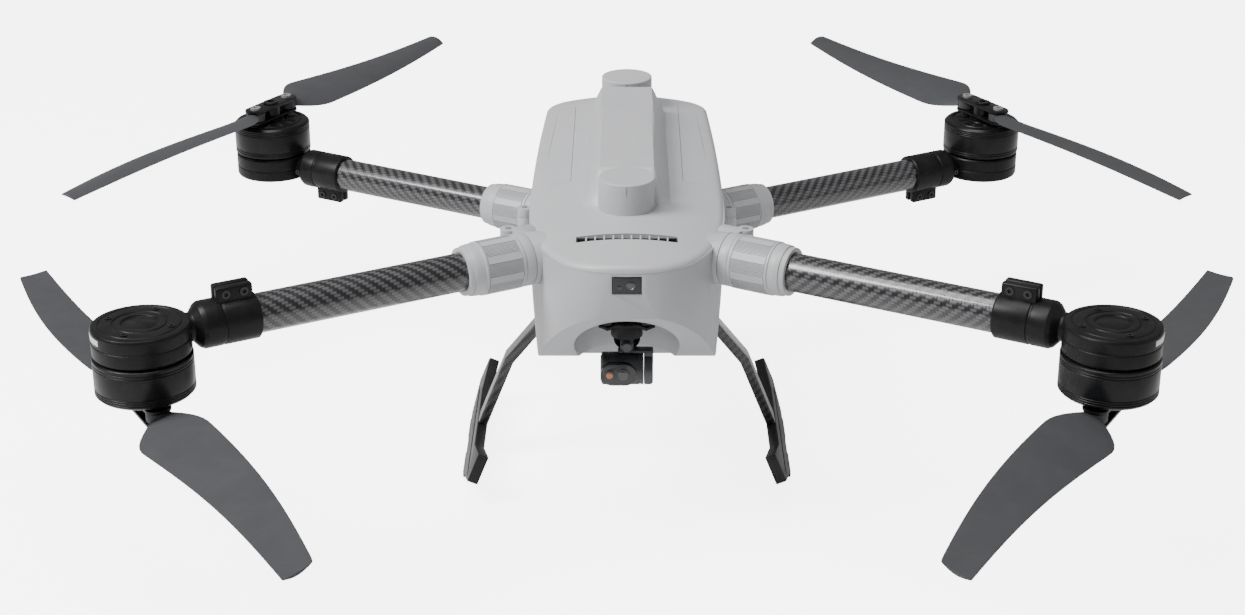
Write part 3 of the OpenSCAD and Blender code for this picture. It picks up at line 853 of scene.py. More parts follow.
    @classmethod
    def row(cls, kind: str, count: int, start: Sequence[float], step: float, turn_deg: float,
            size: Sequence[float], finish: Finish) -> bmesh.types.BMesh:
        """A row along X of socket screws or plain slats. All sizes are in millimetres.

        Args:
            kind: "screw" or "slat".
            count: How many there are.
            start: Place of the first.
            step: Step from one to the next.
            turn_deg: Turn of each about X.
            size: Radius, depth and socket radius of a screw, or the three sides of a slat.
            finish: Finish of the row.

        Returns:
            The mesh of the row.
        """
        return cls._run(kind, finish, {
            "Count": count, "Start": [v * MM for v in start], "Step": [step * MM, 0.0, 0.0],
            "Turn": [math.radians(turn_deg), 0.0, 0.0], "Size": [v * MM for v in size]})

    @classmethod
    def _run(cls, kind: str, finish: Finish, values: dict[str, object]) -> bmesh.types.BMesh:
        """Evaluate a tree with its inputs set, as a plain mesh.

        Args:
            kind: Which tree.
            finish: Finish of what it makes.
            values: Value of each other named input.

        Returns:
            The mesh that it makes.
        """
        holder = bpy.data.objects.new("repeat_holder", bpy.data.meshes.new("seed"))
        bpy.context.scene.collection.objects.link(holder)
        modifier = holder.modifiers.new("repeat", "NODES")
        modifier.node_group = cls._tree(kind)
        for item in modifier.node_group.interface.items_tree:
            if item.in_out == "INPUT" and item.name == "Material":
                modifier[item.identifier] = PAINT.get(finish)
            elif item.in_out == "INPUT" and item.name in values:
                modifier[item.identifier] = values[item.name]
        data = evaluated(holder)
        made = bmesh.new()
        made.from_mesh(data)
        made.loops.layers.uv.verify()
        bpy.data.objects.remove(holder)
        bpy.data.meshes.remove(data)
        return made


def joint(name: str) -> dict:
    """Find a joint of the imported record.

    Args:
        name: Name of the joint.

    Returns:
        The joint's entry.
    """
    return next(j for j in frame["record"]["behaviour"]["joints"] if j["name"] == name)


@dataclass(frozen=True)
class ArmPlace:
    """Where one arm stands: mating face, direction, pin side and propeller side."""

    name: str
    lock_mm: float = 30.0

    def matrix(self) -> Matrix:
        """Local frame of the arm: X outward from its mating face, Y to its pin, Z to its propeller.

        Returns:
            The matrix from that frame to the object's.
        """
        lock, spin, fold = joint(f"lock_{self.name}"), joint(f"spin_{self.name}"), joint(f"fold_{self.name}")
        out = Vector(lock["axis"]).normalized()
        root = Vector(lock["pos_m"]) - out * self.lock_mm * MM
        up = Vector((0, 0, 1 if spin["pos_m"][2] > root.z else -1))
        side = Vector(fold["pos_m"]) - root
        side = (side - out * side.dot(out)).normalized()
        return Matrix((
            (out.x, side.x, up.x, root.x), (out.y, side.y, up.y, root.y), (out.z, side.z, up.z, root.z),
            (0, 0, 0, 1)))

    def along(self) -> Matrix:
        """As matrix(), with local Z turned along the arm, for turned shapes.

        Returns:
            The matrix from that frame to the object's.
        """
        return self.matrix() @ turned("Y", 90)

    def motor(self) -> Matrix:
        """As matrix(), moved to the motor axis.

        Returns:
            The matrix from that frame to the object's.
        """
        spin, here = Vector(joint(f"spin_{self.name}")["pos_m"]), self.matrix()
        reach = (Vector((spin.x, spin.y, here.translation.z)) - here.translation).length
        return here @ Matrix.Translation((reach, 0, 0))

    def propeller(self, blade: str) -> Matrix:
        """Local frame of one blade: X outward from its pivot, in the plane of the propeller.

        Args:
            blade: "a" or "b".

        Returns:
            The matrix from that frame to the object's.
        """
        hub = Vector(joint(f"spin_{self.name}")["pos_m"])
        pivot = Vector(joint(f"blade_{blade}_swing_{self.name}")["pos_m"])
        here = self.matrix()
        turn = here.to_3x3().inverted() @ (pivot - hub)
        centre = here.to_3x3().to_4x4()
        centre.translation = pivot
        return centre @ Matrix.Rotation(math.atan2(turn.y, turn.x), 4, "Z")


@dataclass
class KeptShape:
    """A CAD shape shown as it is, with softened edges and smooth curved faces."""

    node: str
    finish: Finish
    body: str
    edge: float = 0.4 * MM
    smooth_deg: float = 30.0

    def build(self) -> bpy.types.Object:
        """Make the piece.

        Returns:
            The new object.
        """
        mesh = bmesh.new()
        mesh.from_mesh(frame["nodes"][self.node].data)
        bmesh.ops.remove_doubles(mesh, verts=mesh.verts, dist=0.5e-6)
        bmesh.ops.dissolve_limit(mesh, angle_limit=math.radians(0.5), verts=mesh.verts, edges=mesh.edges)
        mesh.loops.layers.uv.verify()
        piece = Workshop.to_object(f"{self.node}_shown", mesh, self.finish, self.smooth_deg)
        for name in ("custom_normal", "sharp_face"):
            if name in piece.data.attributes:
                piece.data.attributes.remove(piece.data.attributes[name])
        if self.edge:
            bevel = piece.modifiers.new("edges", "BEVEL")
            bevel.width = self.edge
            bevel.segments = 2
            bevel.limit_method = "ANGLE"
            bevel.angle_limit = math.radians(SHARP_DEG)
            piece.data = evaluated(piece)
        smooth(piece.data, self.smooth_deg)
        for slot in range(len(piece.data.materials)):
            piece.data.materials[slot] = PAINT.get(self.finish)
        return Workshop.register(piece, self.finish, self.body, [self.node])


@dataclass
class LockCollar:
    """Turning collar with smooth panels between groups of fine ribs."""

    arm: str
    start: float = 8.6
    length: float = 43.0
    outer: float = 21.3
    inner: float = 19.05
    ribs: int = 120
    panels: int = 8

    def build(self) -> bpy.types.Object:
        """Make the collar.

        Returns:
            The new object.
        """
        a, b = self.start, self.start + self.length
        low = self.outer - 0.75
        profile = soften([
            (self.inner, a), (self.outer, a), (self.outer, a + 2.6), (low, a + 2.8), (low, b - 11.2),
            (self.outer, b - 11.0), (self.outer, b - 9.0), (self.outer - 0.8, b - 8.8),
            (self.outer - 0.8, b - 4.2), (self.inner + 0.9, b), (self.inner, b)], 0.35, 3)
        body = Workshop.lathe(profile, 120, closed=True)
        middle, span = (a + b) / 2 - 4.2, self.length - 14.6
        group = self.ribs // self.panels
        filled = group * 3 // 5
        ribs = Repeater.ring(self.ribs, group, filled, low + 0.1, (1.0, 0.62, span), middle, COLLAR)
        width = 2 * math.pi * self.outer * (group - filled - 0.6) / self.ribs
        panels = Repeater.ring(self.panels, 1, 1, low - 0.1, (1.5, width, span), middle, COLLAR)
        panels.transform(turned("Z", 180 * (filled - 1 + group) / self.ribs))
        mesh = Workshop.moved(Workshop.join([body, ribs, panels]), ArmPlace(self.arm).along())
        return Workshop.piece(f"collar_ribbed_{self.arm}", mesh, COLLAR, f"collar_{self.arm}",
                              [f"lock_collar_{self.arm}"])


@dataclass
class MotorMount:
    """Round motor base with the tube clamp, its two-bolt ears and the light window."""

    arm: str
    base_r: float = 36.0
    base_h: float = 23.0
    clamp_r: float = 18.0
    clamp_from: float = -87.0
    clamp_to: float = -27.0
    screw_r: float = 25.0

    def build(self) -> None:
        """Make the mount, its screws and its light window."""
        place = ArmPlace(self.arm).motor()
        low, high = -self.base_h / 2, self.base_h / 2
        base = Workshop.spindle([
            (11.0, low + 0.6), (12.0, low + 1.2), (13.6, low + 1.2), (14.0, low + 0.1), (18.5, low + 0.1),
            (19.0, low + 0.9), (20.2, low + 0.9), (20.6, low + 0.1), (29.0, low + 0.3), (29.4, low + 0.9),
            (30.2, low + 0.9), (30.6, low + 0.3), (35.0, low + 0.8), (self.base_r, low + 2.6),
            (self.base_r, -1.2), (self.base_r - 0.5, -0.9), (self.base_r - 0.5, 0.4), (self.base_r, 0.7),
            (self.base_r, high - 1.6), (self.base_r - 1.2, high), (20.0, high)], 0.5, 3, 120)
        sleeve = Workshop.lathe(soften([
            (15.1, self.clamp_from), (self.clamp_r - 1.2, self.clamp_from),
            (self.clamp_r, self.clamp_from + 1.2), (self.clamp_r, self.clamp_from + 27),
            (self.clamp_r - 0.7, self.clamp_from + 27.3), (self.clamp_r - 0.7, self.clamp_from + 29),
            (self.clamp_r, self.clamp_from + 29.3), (self.clamp_r, self.clamp_from + 42),
            (self.clamp_r - 1.5, self.clamp_from + 45), (10.9, self.clamp_from + 49.6), (10.9, self.clamp_to),
            (8.0, self.clamp_to), (8.0, -45.0), (15.1, -45.2)], 0.5, 3), 96, closed=True)
        sleeve.transform(turned("Y", 90))
        parts = [base, sleeve]
        for side in (-1, 1):
            y0, y1 = sorted((side * 0.7 * MM, side * 7 * MM))
            parts.append(Workshop.block((-84 * MM, y0, -28 * MM), (-56 * MM, y1, -14 * MM), 1.6))
        mesh = Workshop.moved(Workshop.join(parts), place)
        Workshop.piece(f"mount_{self.arm}", mesh, BLACK, f"arm_{self.arm}", [f"motor_mount_{self.arm}"])
        self._screws(place)
        self._light(place)

    def _screws(self, place: Matrix) -> None:
        """Make the four clamp screws, the set screw and the four base screws.

        Args:
            place: Frame of the motor.
        """
        rows = [Repeater.row("screw", 2, (-77, side * 7.0, -22.5), 14, -side * 90, (3.3, 1.8, 1.7), SCREW)
                for side in (-1, 1)]
        rows.append(Repeater.row("screw", 1, (-42, 17.4, 0.0), 1, -90, (2.4, 1.6, 1.2), SCREW))
        for angle in range(45, 360, 90):
            x, y = self.screw_r * math.cos(math.radians(angle)), self.screw_r * math.sin(math.radians(angle))
            rows.append(Repeater.row("screw", 1, (x, y, 0.2 - self.base_h / 2), 1, 180, (2.6, 1.4, 1.3),
                                     SCREW))
        mesh = Workshop.moved(Workshop.join(rows), place)
        Workshop.piece(f"mount_screws_{self.arm}", mesh, SCREW, f"arm_{self.arm}")

    def _light(self, place: Matrix) -> None:
        """Make the pale light window on the outer side of the base.

        Args:
            place: Frame of the motor.
        """
        angles = [math.radians(-16 + 4 * i) for i in range(9)]
        points = [(r * math.cos(angle), r * math.sin(angle))
                  for r, way in ((36.15, angles), (34.5, angles[::-1])) for angle in way]
        mesh = Workshop.moved(Workshop.prism(points, -7.5, -3.0, 0.3), place)
        Workshop.piece(f"mount_light_{self.arm}", mesh, LIGHT_WINDOW, f"arm_{self.arm}")


@dataclass
class Rotor:
    """Motor bell, propeller hub and two folding blades."""

    arm: str
    bell_r: float = 36.5
    bell_from: float = 12.0
    bell_to: float = 43.0
    pivot: float = 24.0
    blade_h: float = 8.0
    radius: float = 292.5
    chord_max: float = 52.0
    chord_root: float = 17.0
    chord_tip: float = 24.0
    widest: float = 0.14

    def build(self) -> None:
        """Make the bell, the hub and both blades."""
        place = ArmPlace(self.arm).motor()
        self._bell(place)
        self._hub(place)
        for blade in ("a", "b"):
            self._blade(blade)

    def _bell(self, place: Matrix) -> None:
        """Make the bell with its grooves and end slots.

        Args:
            place: Frame of the motor.
        """
        r, a, b = self.bell_r, self.bell_from, self.bell_to
        side: list[tuple[float, float]] = [(r - 2.5, a), (r, a + 1.4), (r, a + 3.2)]
        for z in (a + 3.6, a + 5.6, b - 8.0, b - 6.2, b - 4.4):
            side += [(r, z), (r - 0.45, z + 0.25), (r - 0.45, z + 0.65), (r, z + 0.9)]
        side += [(r, b - 2.6), (r - 2.2, b - 0.4), (31.0, b), (29.4, b), (29.0, b - 0.8), (27.8, b - 0.8),
                 (27.4, b), (16.0, b), (15.4, b - 0.9), (12.4, b - 0.9), (12.0, b)]
        bell = Workshop.spindle(side, 0.25, 2, 120)
        Workshop.piece(f"bell_{self.arm}", Workshop.moved(bell, place), BELL, f"rotor_{self.arm}",
                       [f"motor_bell_{self.arm}"], sharp_deg=40)
        slots = Repeater.ring(12, 1, 1, 21.6, (8.5, 3.2, 0.5), b - 0.18, SLOT_BLACK)
        Workshop.piece(f"bell_slots_{self.arm}", Workshop.moved(slots, place), SLOT_BLACK,
                       f"rotor_{self.arm}")

    def _hub(self, place: Matrix) -> None:
        """Make the two plates, the neck and the pivot bolts.

        Args:
            place: Frame of the motor.
        """
        here = ArmPlace(self.arm).propeller("a") @ Matrix.Translation((-self.pivot * MM, 0, 0))
        outline = [(self.pivot + 10 * math.cos(math.radians(t)), 10 * math.sin(math.radians(t)))
                   for t in range(-90, 91, 10)]
        outline += [(-x, -y) for x, y in outline]
        half = self.blade_h / 2
        parts = [Workshop.prism(outline, z, z + 2.5, 0.5) for z in (-half - 2.8, half + 0.3)]
        parts.append(Workshop.spindle([(10.0, -9.0), (10.0, -8.0), (8.6, -7.4), (8.6, half + 0.3)],
                                      0.4, 2, 64))
        parts.append(Workshop.spindle([(7.4, half + 2.8), (7.4, half + 4.2), (6.6, half + 4.7),
                                       (3.2, half + 4.7), (3.2, half + 3.4)], 0.2, 2, 48))
        mesh = Workshop.moved(Workshop.join(parts), here)
        Workshop.piece(f"hub_{self.arm}", mesh, BELL, f"rotor_{self.arm}", [f"prop_hub_{self.arm}"])
        bolts = [Repeater.row("screw", 2, (-self.pivot, 0.0, z), 2 * self.pivot, 0, size, STEEL)
                 for z, size in ((half + 3.8, (5.0, 2.2, 2.2)), (0.0, (2.95, 2 * half + 7, 1.0)))]
        Workshop.piece(f"hub_bolts_{self.arm}", Workshop.moved(Workshop.join(bolts), here), STEEL,
                       f"rotor_{self.arm}")

    def _chord(self, t: float) -> float:
        """Chord of the blade along its span.

        Args:
            t: Fraction of the span.

        Returns:
            The chord in millimetres.
        """
        if t < self.widest:
            rise = math.sin(math.pi / 2 * t / self.widest)
            return self.chord_root + (self.chord_max - self.chord_root) * rise
        part = (t - self.widest) / (1 - self.widest)
        return self.chord_max - (self.chord_max - self.chord_tip) * part ** 1.15

    def _blade(self, blade: str) -> None:
        """Make one blade.

        Args:
            blade: "a" or "b".
        """
        span, count, stations = self.radius - self.pivot, 16, 44
        rings = []
        for i in range(stations + 1):
            t = i / stations
            pitch = math.radians(13 * (1 - t) ** 1.2 + 4)
            thick = 6 - 3.6 * t
            middle = 0.16 * (self._chord(t) - self.chord_root) - 9 * math.sin(math.pi * t)
            slant = 9.0 * max(0.0, (t - 0.93) / 0.07) ** 2
            ring = []
            for k in range(2 * count):
                u = k / count if k < count else (2 * count - k) / count
                face = 0 if k in (0, count) else (1 if k < count else -1)
                c = (u - 0.5) * self._chord(t)
                h = face * thick / 2 * math.sin(math.pi * u) ** 0.8 + 1.6 * math.sin(math.pi * u) - 0.8
                ring.append(((6 + (span - 6) * t - slant * (1 - u)) * MM,
                             (middle + c * math.cos(pitch) - h * math.sin(pitch)) * MM,
                             (c * math.sin(pitch) + h * math.cos(pitch)) * MM))
            rings.append(ring)
        half = self.blade_h / 2
        boss = Workshop.lathe(soften([(3.05, -half), (9.0, -half), (9.0, half), (3.05, half)], 0.8, 3), 48,
                              closed=True)
        mesh = Workshop.join([Workshop.loft(rings), boss])
        mesh = Workshop.moved(mesh, ArmPlace(self.arm).propeller(blade))
        Workshop.piece(f"blade_{blade}_{self.arm}_shown", mesh, BLADE, f"blade_{blade}_{self.arm}",
                       [f"blade_{blade}_{self.arm}"], sharp_deg=38)


@dataclass
class Arm:
    """One folding arm from its root bracket to its propeller."""

    name: str
    tube_r: float = 15.0
    tube_wall: float = 1.5
    tube_from: float = 12.0
    tube_to: float = 265.0
    under_deck_from: float = -20.0
    under_deck: float = 245.0

    def build(self) -> None:
        """Make every piece of the arm."""
        root = KeptShape(f"arm_root_{self.name}", COLLAR, "fuselage", 0.5 * MM).build()
        to_arm = ArmPlace(self.name).matrix().inverted()
        for vert in root.data.vertices:
            if (to_arm @ vert.co).x < self.under_deck_from * MM:
                vert.co.z = min(vert.co.z, self.under_deck * MM)
        KeptShape(f"arm_knuckle_{self.name}", COLLAR, f"arm_{self.name}", 0.4 * MM).build()
        LockCollar(self.name).build()
        inner = self.tube_r - self.tube_wall
        tube = Workshop.lathe([
            (self.tube_r, self.tube_from), (self.tube_r, self.tube_to), (inner, self.tube_to),
            (inner, self.tube_from)], 128, closed=True)
        Workshop.piece(f"tube_{self.name}", Workshop.moved(tube, ArmPlace(self.name).along()), TUBE,
                       f"arm_{self.name}", [f"arm_tube_{self.name}"])
        MotorMount(self.name).build()
        Rotor(self.name).build()


@dataclass
class TopCover:
    """Crowned deck with the spine rising out of it behind the front antenna, and its two hatches."""

    half: float = 79.0
    tail_half: float = 72.0
    nose: float = 231.0
    tail: float = 181.0
    widest_y: float = -74.0
    corner: float = 14.0
    parting: float = 243.65
    deck: float = 259.0
    spine_top: float = 281.0
    spine_half: float = 22.5
    spine_foot: float = 36.5
    spine_front: float = -119.0
    spine_full: float = -94.0
    spine_back: float = 125.5
    lip: float = 5.0
    seam_gap: float = 0.35
    spine_blend: float = 1.6
    heights: tuple[tuple[float, float], ...] = (
        (-231, 249.5), (-215, 250.4), (-190, 252.7), (-147, 255.3), (-60, 258.0), (60, 259.0),
        (161, 257.0), (181, 255.0))

    def _half_width(self, y: float) -> float:
        """Half width of the plan.

        Args:
            y: Place along the fuselage.

        Returns:
            The half width.
        """
        if y < self.widest_y:
            part = (self.widest_y - y) / (self.nose + self.widest_y)
            return self.half * max(0.0, 1 - part ** 2.5) ** 0.4
        part = (y - self.widest_y) / (self.tail - self.widest_y)
        return self.half - (self.half - self.tail_half) * part ** 2

    def _outline(self) -> list[tuple[float, float]]:
        """Outline of the plan, from the nose round to the nose again.

        Returns:
            Its points in millimetres.
        """
        right = []
        for i in range(1, 61):
            angle = math.pi / 2 * i / 60
            y = self.widest_y - (self.nose + self.widest_y) * math.cos(angle)
            right.append((self._half_width(y), y))
        end = self.tail - self.corner
        for i in range(1, 49):
            y = self.widest_y + (end - self.widest_y) * i / 48
            right.append((self._half_width(y), y))
        for i in range(1, 11):
            angle = math.pi / 2 * i / 10
            width = self._half_width(end)
            right.append((width - self.corner + self.corner * math.cos(angle),
                          end + self.corner * math.sin(angle)))
        for i in range(1, 25):
            right.append(((1 - i / 24) * (self._half_width(end) - self.corner), self.tail))
        return [(0.0, -self.nose)] + right + [(-x, y) for x, y in reversed(right[:-1])]

    def _height(self, x: float, y: float) -> float:
        """Height of the deck with its spine.

        Args:
            x: Sideways place.
            y: Place along the fuselage.

        Returns:
            The height.
        """
        deck = self.heights[-1][1]
        for (y0, z0), (y1, z1) in zip(self.heights, self.heights[1:]):
            if y <= y1:
                part = max(0.0, (y - y0) / (y1 - y0))
                deck = z0 + (z1 - z0) * part
                break
        deck -= 12 * (x / 80) ** 2
        rise = min(1.0, max(0.0, (y - self.spine_front) / (self.spine_full - self.spine_front)))
        rise *= min(1.0, max(0.0, (self.spine_back - y) / 1.5 + 1.0))
        slope = (self.spine_top - self.deck + 8) / (self.spine_foot - self.spine_half)
        spine = self.spine_top - max(0.0, abs(x) - self.spine_half) * slope
        spine = deck - 3 + (spine - deck + 3) * rise * rise * (3 - 2 * rise)
        gap = max(-1.0, min(1.0, (spine - deck) / (2 * self.spine_blend)))
        blend = (gap + 1) / 2
        return deck + (spine - deck) * blend + self.spine_blend * blend * (1 - blend)

    def _solid(self) -> bmesh.types.BMesh:
        """The closed cover, with its rim rounded over.

        Returns:
            The cover.
        """
        mesh = bmesh.new()
        outline = self._outline()
        rows: list[list[bmesh.types.BMVert]] = [[mesh.verts.new((x * MM, y * MM, self.parting * MM))
                                                 for x, y in outline]]
        deep = [0.0, 0.25, 0.7, 1.4, 2.3, 3.4, 4.6, 6.0]
        across = 44
        for step in range(len(deep) + across):
            row = []
            for x, y in outline:
                target = (0.0, max(-150.0, min(150.0, y)))
                length = math.dist((x, y), target) or 1.0
                inward = deep[step] if step < len(deep) else (
                    deep[-1] + (length - deep[-1]) * (step - len(deep) + 1) / across)
                part = min(1.0, inward / length)
                px, py = x + (target[0] - x) * part, y + (target[1] - y) * part
                edge = min(inward, self.lip)
                drop = self.lip * 0.8 * (1 - math.sqrt(max(0.0, 1 - (1 - edge / self.lip) ** 2)))
                row.append(mesh.verts.new((px * MM, py * MM, (self._height(px, py) - drop) * MM)))
            rows.append(row)
        count = len(outline)
        for low, high in zip(rows, rows[1:]):
            for i in range(count):
                mesh.faces.new((low[i], low[(i + 1) % count], high[(i + 1) % count], high[i]))
        mesh.faces.new(list(reversed(rows[0])))
        bmesh.ops.remove_doubles(mesh, verts=mesh.verts, dist=2e-6)
        bmesh.ops.dissolve_degenerate(mesh, edges=mesh.edges, dist=1e-6)
        outward(mesh)
        return mesh

    @staticmethod
    def _hatch(side: int, inset: float) -> bmesh.types.BMesh:
        """Tall prism over one hatch.

        Args:
            side: -1 or 1.
            inset: How far it is drawn in.

        Returns:
            The prism.
        """
        points = [(46 + inset, -52 + inset), (70 - inset, -52 + inset), (62 - inset, 150 - inset),
                  (46 + inset, 150 - inset)]
        ordered = [(side * x, y) for x, y in points]
        if side < 0:
            ordered.reverse()
        return Workshop.prism(ordered, 250, 262)

    def build(self) -> None:
        """Make the cover and its two hatches."""
        whole = self._solid()
        cover = Workshop.to_object("deck_cover", whole.copy(), DECK, 30)
        hatches = Workshop.to_object("deck_hatches", whole, DECK, 30)
        wells = [self._hatch(side, 0.0) for side in (-1, 1)]
        vent_low, vent_high = (Vector(v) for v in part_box("vent_grille"))
        spare = Vector((CUT_GAP, CUT_GAP, CUT_GAP))
        wells.append(Workshop.block(vent_low - spare, (vent_high.x + CUT_GAP, vent_high.y + CUT_GAP,
                                                       vent_high.z + 9 * MM), 0.9))
        Workshop.cut(cover, wells, DECK)
        kept = Workshop.join([self._hatch(side, self.seam_gap) for side in (-1, 1)])
        Workshop.cut(hatches, [kept], DECK, "INTERSECT")
        Workshop.register(cover, DECK, "fuselage", ["top_cover"])
        Workshop.register(hatches, DECK, "fuselage", ["hatch_covers"])


@dataclass
class Fuselage:
    """Shells, spine, antennas, vent, nose window, hatches and belly tray."""

    puck_r: float = 22.5
    frame_wall: float = 1.4
    end_wall: float = 1.1
    rib_count: int = 10
    rib_pitch: float = 7.0

    def build(self) -> None:
        """Make every piece of the fuselage."""
        KeptShape("lower_shell", SHELL, "fuselage", 0.5 * MM, 34).build()
        TopCover().build()
        KeptShape("belly_tray", SHELL, "fuselage", 0.8 * MM).build()
        self._puck("front_antenna")
        self._puck("rear_antenna")
        self._vent()
        self._window()
        for name, finish in (("battery_pack", BLACK), ("flight_controller", BLACK), ("hinge_pins", STEEL)):
            self._dress(name, finish)

    @staticmethod
    def _dress(node: str, finish: Finish) -> None:
        """Give a CAD node a finish.

        Args:
            node: Name of the node.
            finish: Its finish.
        """
        data = frame["nodes"][node].data
        if not data.materials:
            data.materials.append(PAINT.get(finish))
        for index in range(len(data.materials)):
            data.materials[index] = PAINT.get(finish)

    def _puck(self, node: str) -> None:
        """Make an antenna puck with its notch.

        Args:
            node: CAD node of the puck.
        """
        low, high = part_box(node)
        x, y = (low[0] + high[0]) / 2, (low[1] + high[1]) / 2
        r, bottom, top = self.puck_r, low[2] / MM, high[2] / MM
        mesh = Workshop.spindle([(r, bottom), (r, top - 0.2), (r - 2.4, top), (r - 6, top)], 1.6, 5, 128)
        piece = Workshop.to_object(f"{node}_puck", Workshop.moved(mesh, Matrix.Translation((x, y, 0))), DECK)
        notch = Workshop.block((x - 0.5 * MM, y - (r + 2) * MM, (top - 9) * MM),
                               (x + 0.5 * MM, y - (r - 0.6) * MM, (top - 1.5) * MM), 0.2)
        Workshop.cut(piece, [notch], DECK)
        Workshop.register(piece, DECK, "fuselage", [node])

    def _vent(self) -> None:
        """Make the vent grille as a dark well with upright ribs."""
        low, high = (Vector(v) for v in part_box("vent_grille"))
        wall, end = self.frame_wall * MM, self.end_wall * MM
        parts = [Workshop.block(low, (high.x, high.y, low.z + 1.2 * MM), 0.2)]
        for start, stop in ((low, (high.x, low.y + wall, high.z)), ((low.x, high.y - wall, low.z), high),
                            (low, (low.x + end, high.y, high.z)), ((high.x - end, low.y, low.z), high)):
            parts.append(Workshop.block(start, stop, 0.3))
        Workshop.piece("vent_frame", Workshop.join(parts), SLOT_BLACK, "fuselage", ["vent_grille"])
        middle = (low + high) / 2
        first = -self.rib_pitch * (self.rib_count - 1) / 2
        ribs = Repeater.row("slat", self.rib_count, (first, middle.y / MM, middle.z / MM), self.rib_pitch, 0,
                            (1.2, 8.4, (high.z - low.z) / MM * 0.98), DECK)
        for vert in ribs.verts:
            if vert.co.z > middle.z:
                vert.co.z = 253.0 * MM - 12 * MM * (vert.co.x / (80 * MM)) ** 2
        Workshop.piece("vent_ribs", ribs, DECK, "fuselage")

    def _window(self) -> None:
        """Make the smoked nose window with its two lenses."""
        low, high = (Vector(v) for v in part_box("camera_window"))
        Workshop.piece("nose_window", Workshop.block(low, high, 1.0), SMOKED, "fuselage", ["camera_window"])
        parts = []
        for x, z, r in ((-5.5, 5.5, 1.55), (3.0, 7.0, 3.55)):
            rim = soften([(r, -6.0), (r, 0.2), (r - 0.5, 0.4), (r - 0.8, 0.0)], 0.15, 2)
            lens = Workshop.lathe([(0.0, -6.0), *rim, (r * 0.4, 0.25), (0.0, 0.3)], 48)
            parts.append(Workshop.moved(lens, turned("X", 90, (x * MM, low.y, low.z + z * MM))))
        Workshop.piece("nose_lens_pair", Workshop.join(parts), LENS, "fuselage", ["nose_lenses"])


@dataclass
class LandingGear:
    """Two carbon legs, two skids and their pads."""

    def build(self) -> None:
        """Make every piece of the landing gear."""
        for side in ("left", "right"):
            KeptShape(f"leg_{side}", LEG, "fuselage", 0.8 * MM).build()
            KeptShape(f"skid_{side}", SKID, "fuselage", 1.0 * MM).build()
        KeptShape("skid_pads", RUBBER, "fuselage", 0.6 * MM).build()


@dataclass
class GimbalCamera:
    """Damper plate, pan motor, roll arm, camera barrel and lens pod."""

    barrel_r: float = 13.0
    barrel_len: float = 33.8
    drum_len: float = 7.4

    def build(self) -> None:
        """Make every piece of the gimbal."""
        KeptShape("damper_plate", BLACK, "fuselage", 0.4 * MM).build()
        KeptShape("dampers", RUBBER, "fuselage", 1.2 * MM).build()
        KeptShape("pan_motor", BLACK, "gimbal_yaw", 0.8 * MM).build()
        self._roll_arm()
        KeptShape("camera_lenses", RING, "camera", 0.8 * MM).build()
        self._barrel()
        self._lenses()

    def _roll_arm(self) -> None:
        """Make the slim arm over the barrel and the tilt motor drum at its end."""
        tilt, tip = (Vector(joint(name)["pos_m"]) for name in ("camera_tilt", "gimbal_tip"))
        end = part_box("roll_arm")[1][0]
        stub = Workshop.spindle([(3.6, 0.0), (5.3, 1.4), (5.3, 20.2)], 0.8, 4, 48)
        stub = Workshop.moved(stub, turned("X", -90, (0, tip.y - 6 * MM, tip.z)))
        bar = Workshop.block((-7 * MM, tilt.y - 4.5 * MM, tilt.z + 14.2 * MM),
                             (end, tilt.y + 4.5 * MM, tilt.z + 17 * MM), 1.2)
        web = Workshop.block((end - self.drum_len * MM, tilt.y - 4.8 * MM, tilt.z + 4 * MM),
                             (end, tilt.y + 4.8 * MM, tilt.z + 16 * MM), 1.5)
        drum = Workshop.spindle([(12.2, 0.0), (13.0, 0.8), (13.0, 5.6), (11.6, 7.2), (6.0, 7.2), (5.6, 6.6)],
                                0.4, 3, 96)
        drum = Workshop.moved(drum, turned("Y", 90, (end - self.drum_len * MM, tilt.y, tilt.z)))
        Workshop.piece("roll_arm_shown", Workshop.join([stub, bar, web, drum]), BARREL, "gimbal_roll",
                       ["roll_arm"])

    def _barrel(self) -> None:
        """Make the barrel with its end caps and rings."""
        tilt = Vector(joint("camera_tilt")["pos_m"])
        low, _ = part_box("camera_barrel")
        r, n = self.barrel_r, self.barrel_len
        barrel = Workshop.spindle([
            (4.0, 0.8), (4.4, 0.0), (r - 3.0, 0.0), (r - 2.6, 0.6), (r - 1.4, 0.6), (r, 1.8), (r, 6.0),
            (r - 0.4, 6.2), (r - 0.4, 6.8), (r, 7.0), (r, n - 3.4), (r - 0.5, n - 3.2), (r - 0.5, n - 2.2),
            (r, n - 2.0), (r, n - 0.6), (r - 0.6, n)], 0.3, 2, 96)
        barrel = Workshop.moved(barrel, turned("Y", 90, (low[0], tilt.y, tilt.z)))
        Workshop.piece("barrel", barrel, BARREL, "camera", ["camera_barrel"])

    def _lenses(self) -> None:
        """Make the amber and the dark lens on the pod."""
        tilt = Vector(joint("camera_tilt")["pos_m"])
        low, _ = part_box("camera_lenses")
        for name, x, r, finish in (("lens_small", -13.5, 2.6, LENS_AMBER), ("lens_large", -3.0, 3.9, LENS)):
            lens = Workshop.lathe([(0.0, -1.0), (r, -1.0), (r, 0.0), (r * 0.8, 0.22), (r * 0.5, 0.36),
                                   (r * 0.2, 0.42), (0.0, 0.43)], 48)
            lens = Workshop.moved(lens, turned("X", 90, (x * MM, low[1], tilt.z + 0.5 * MM)))
            Workshop.piece(name, lens, finish, "camera")


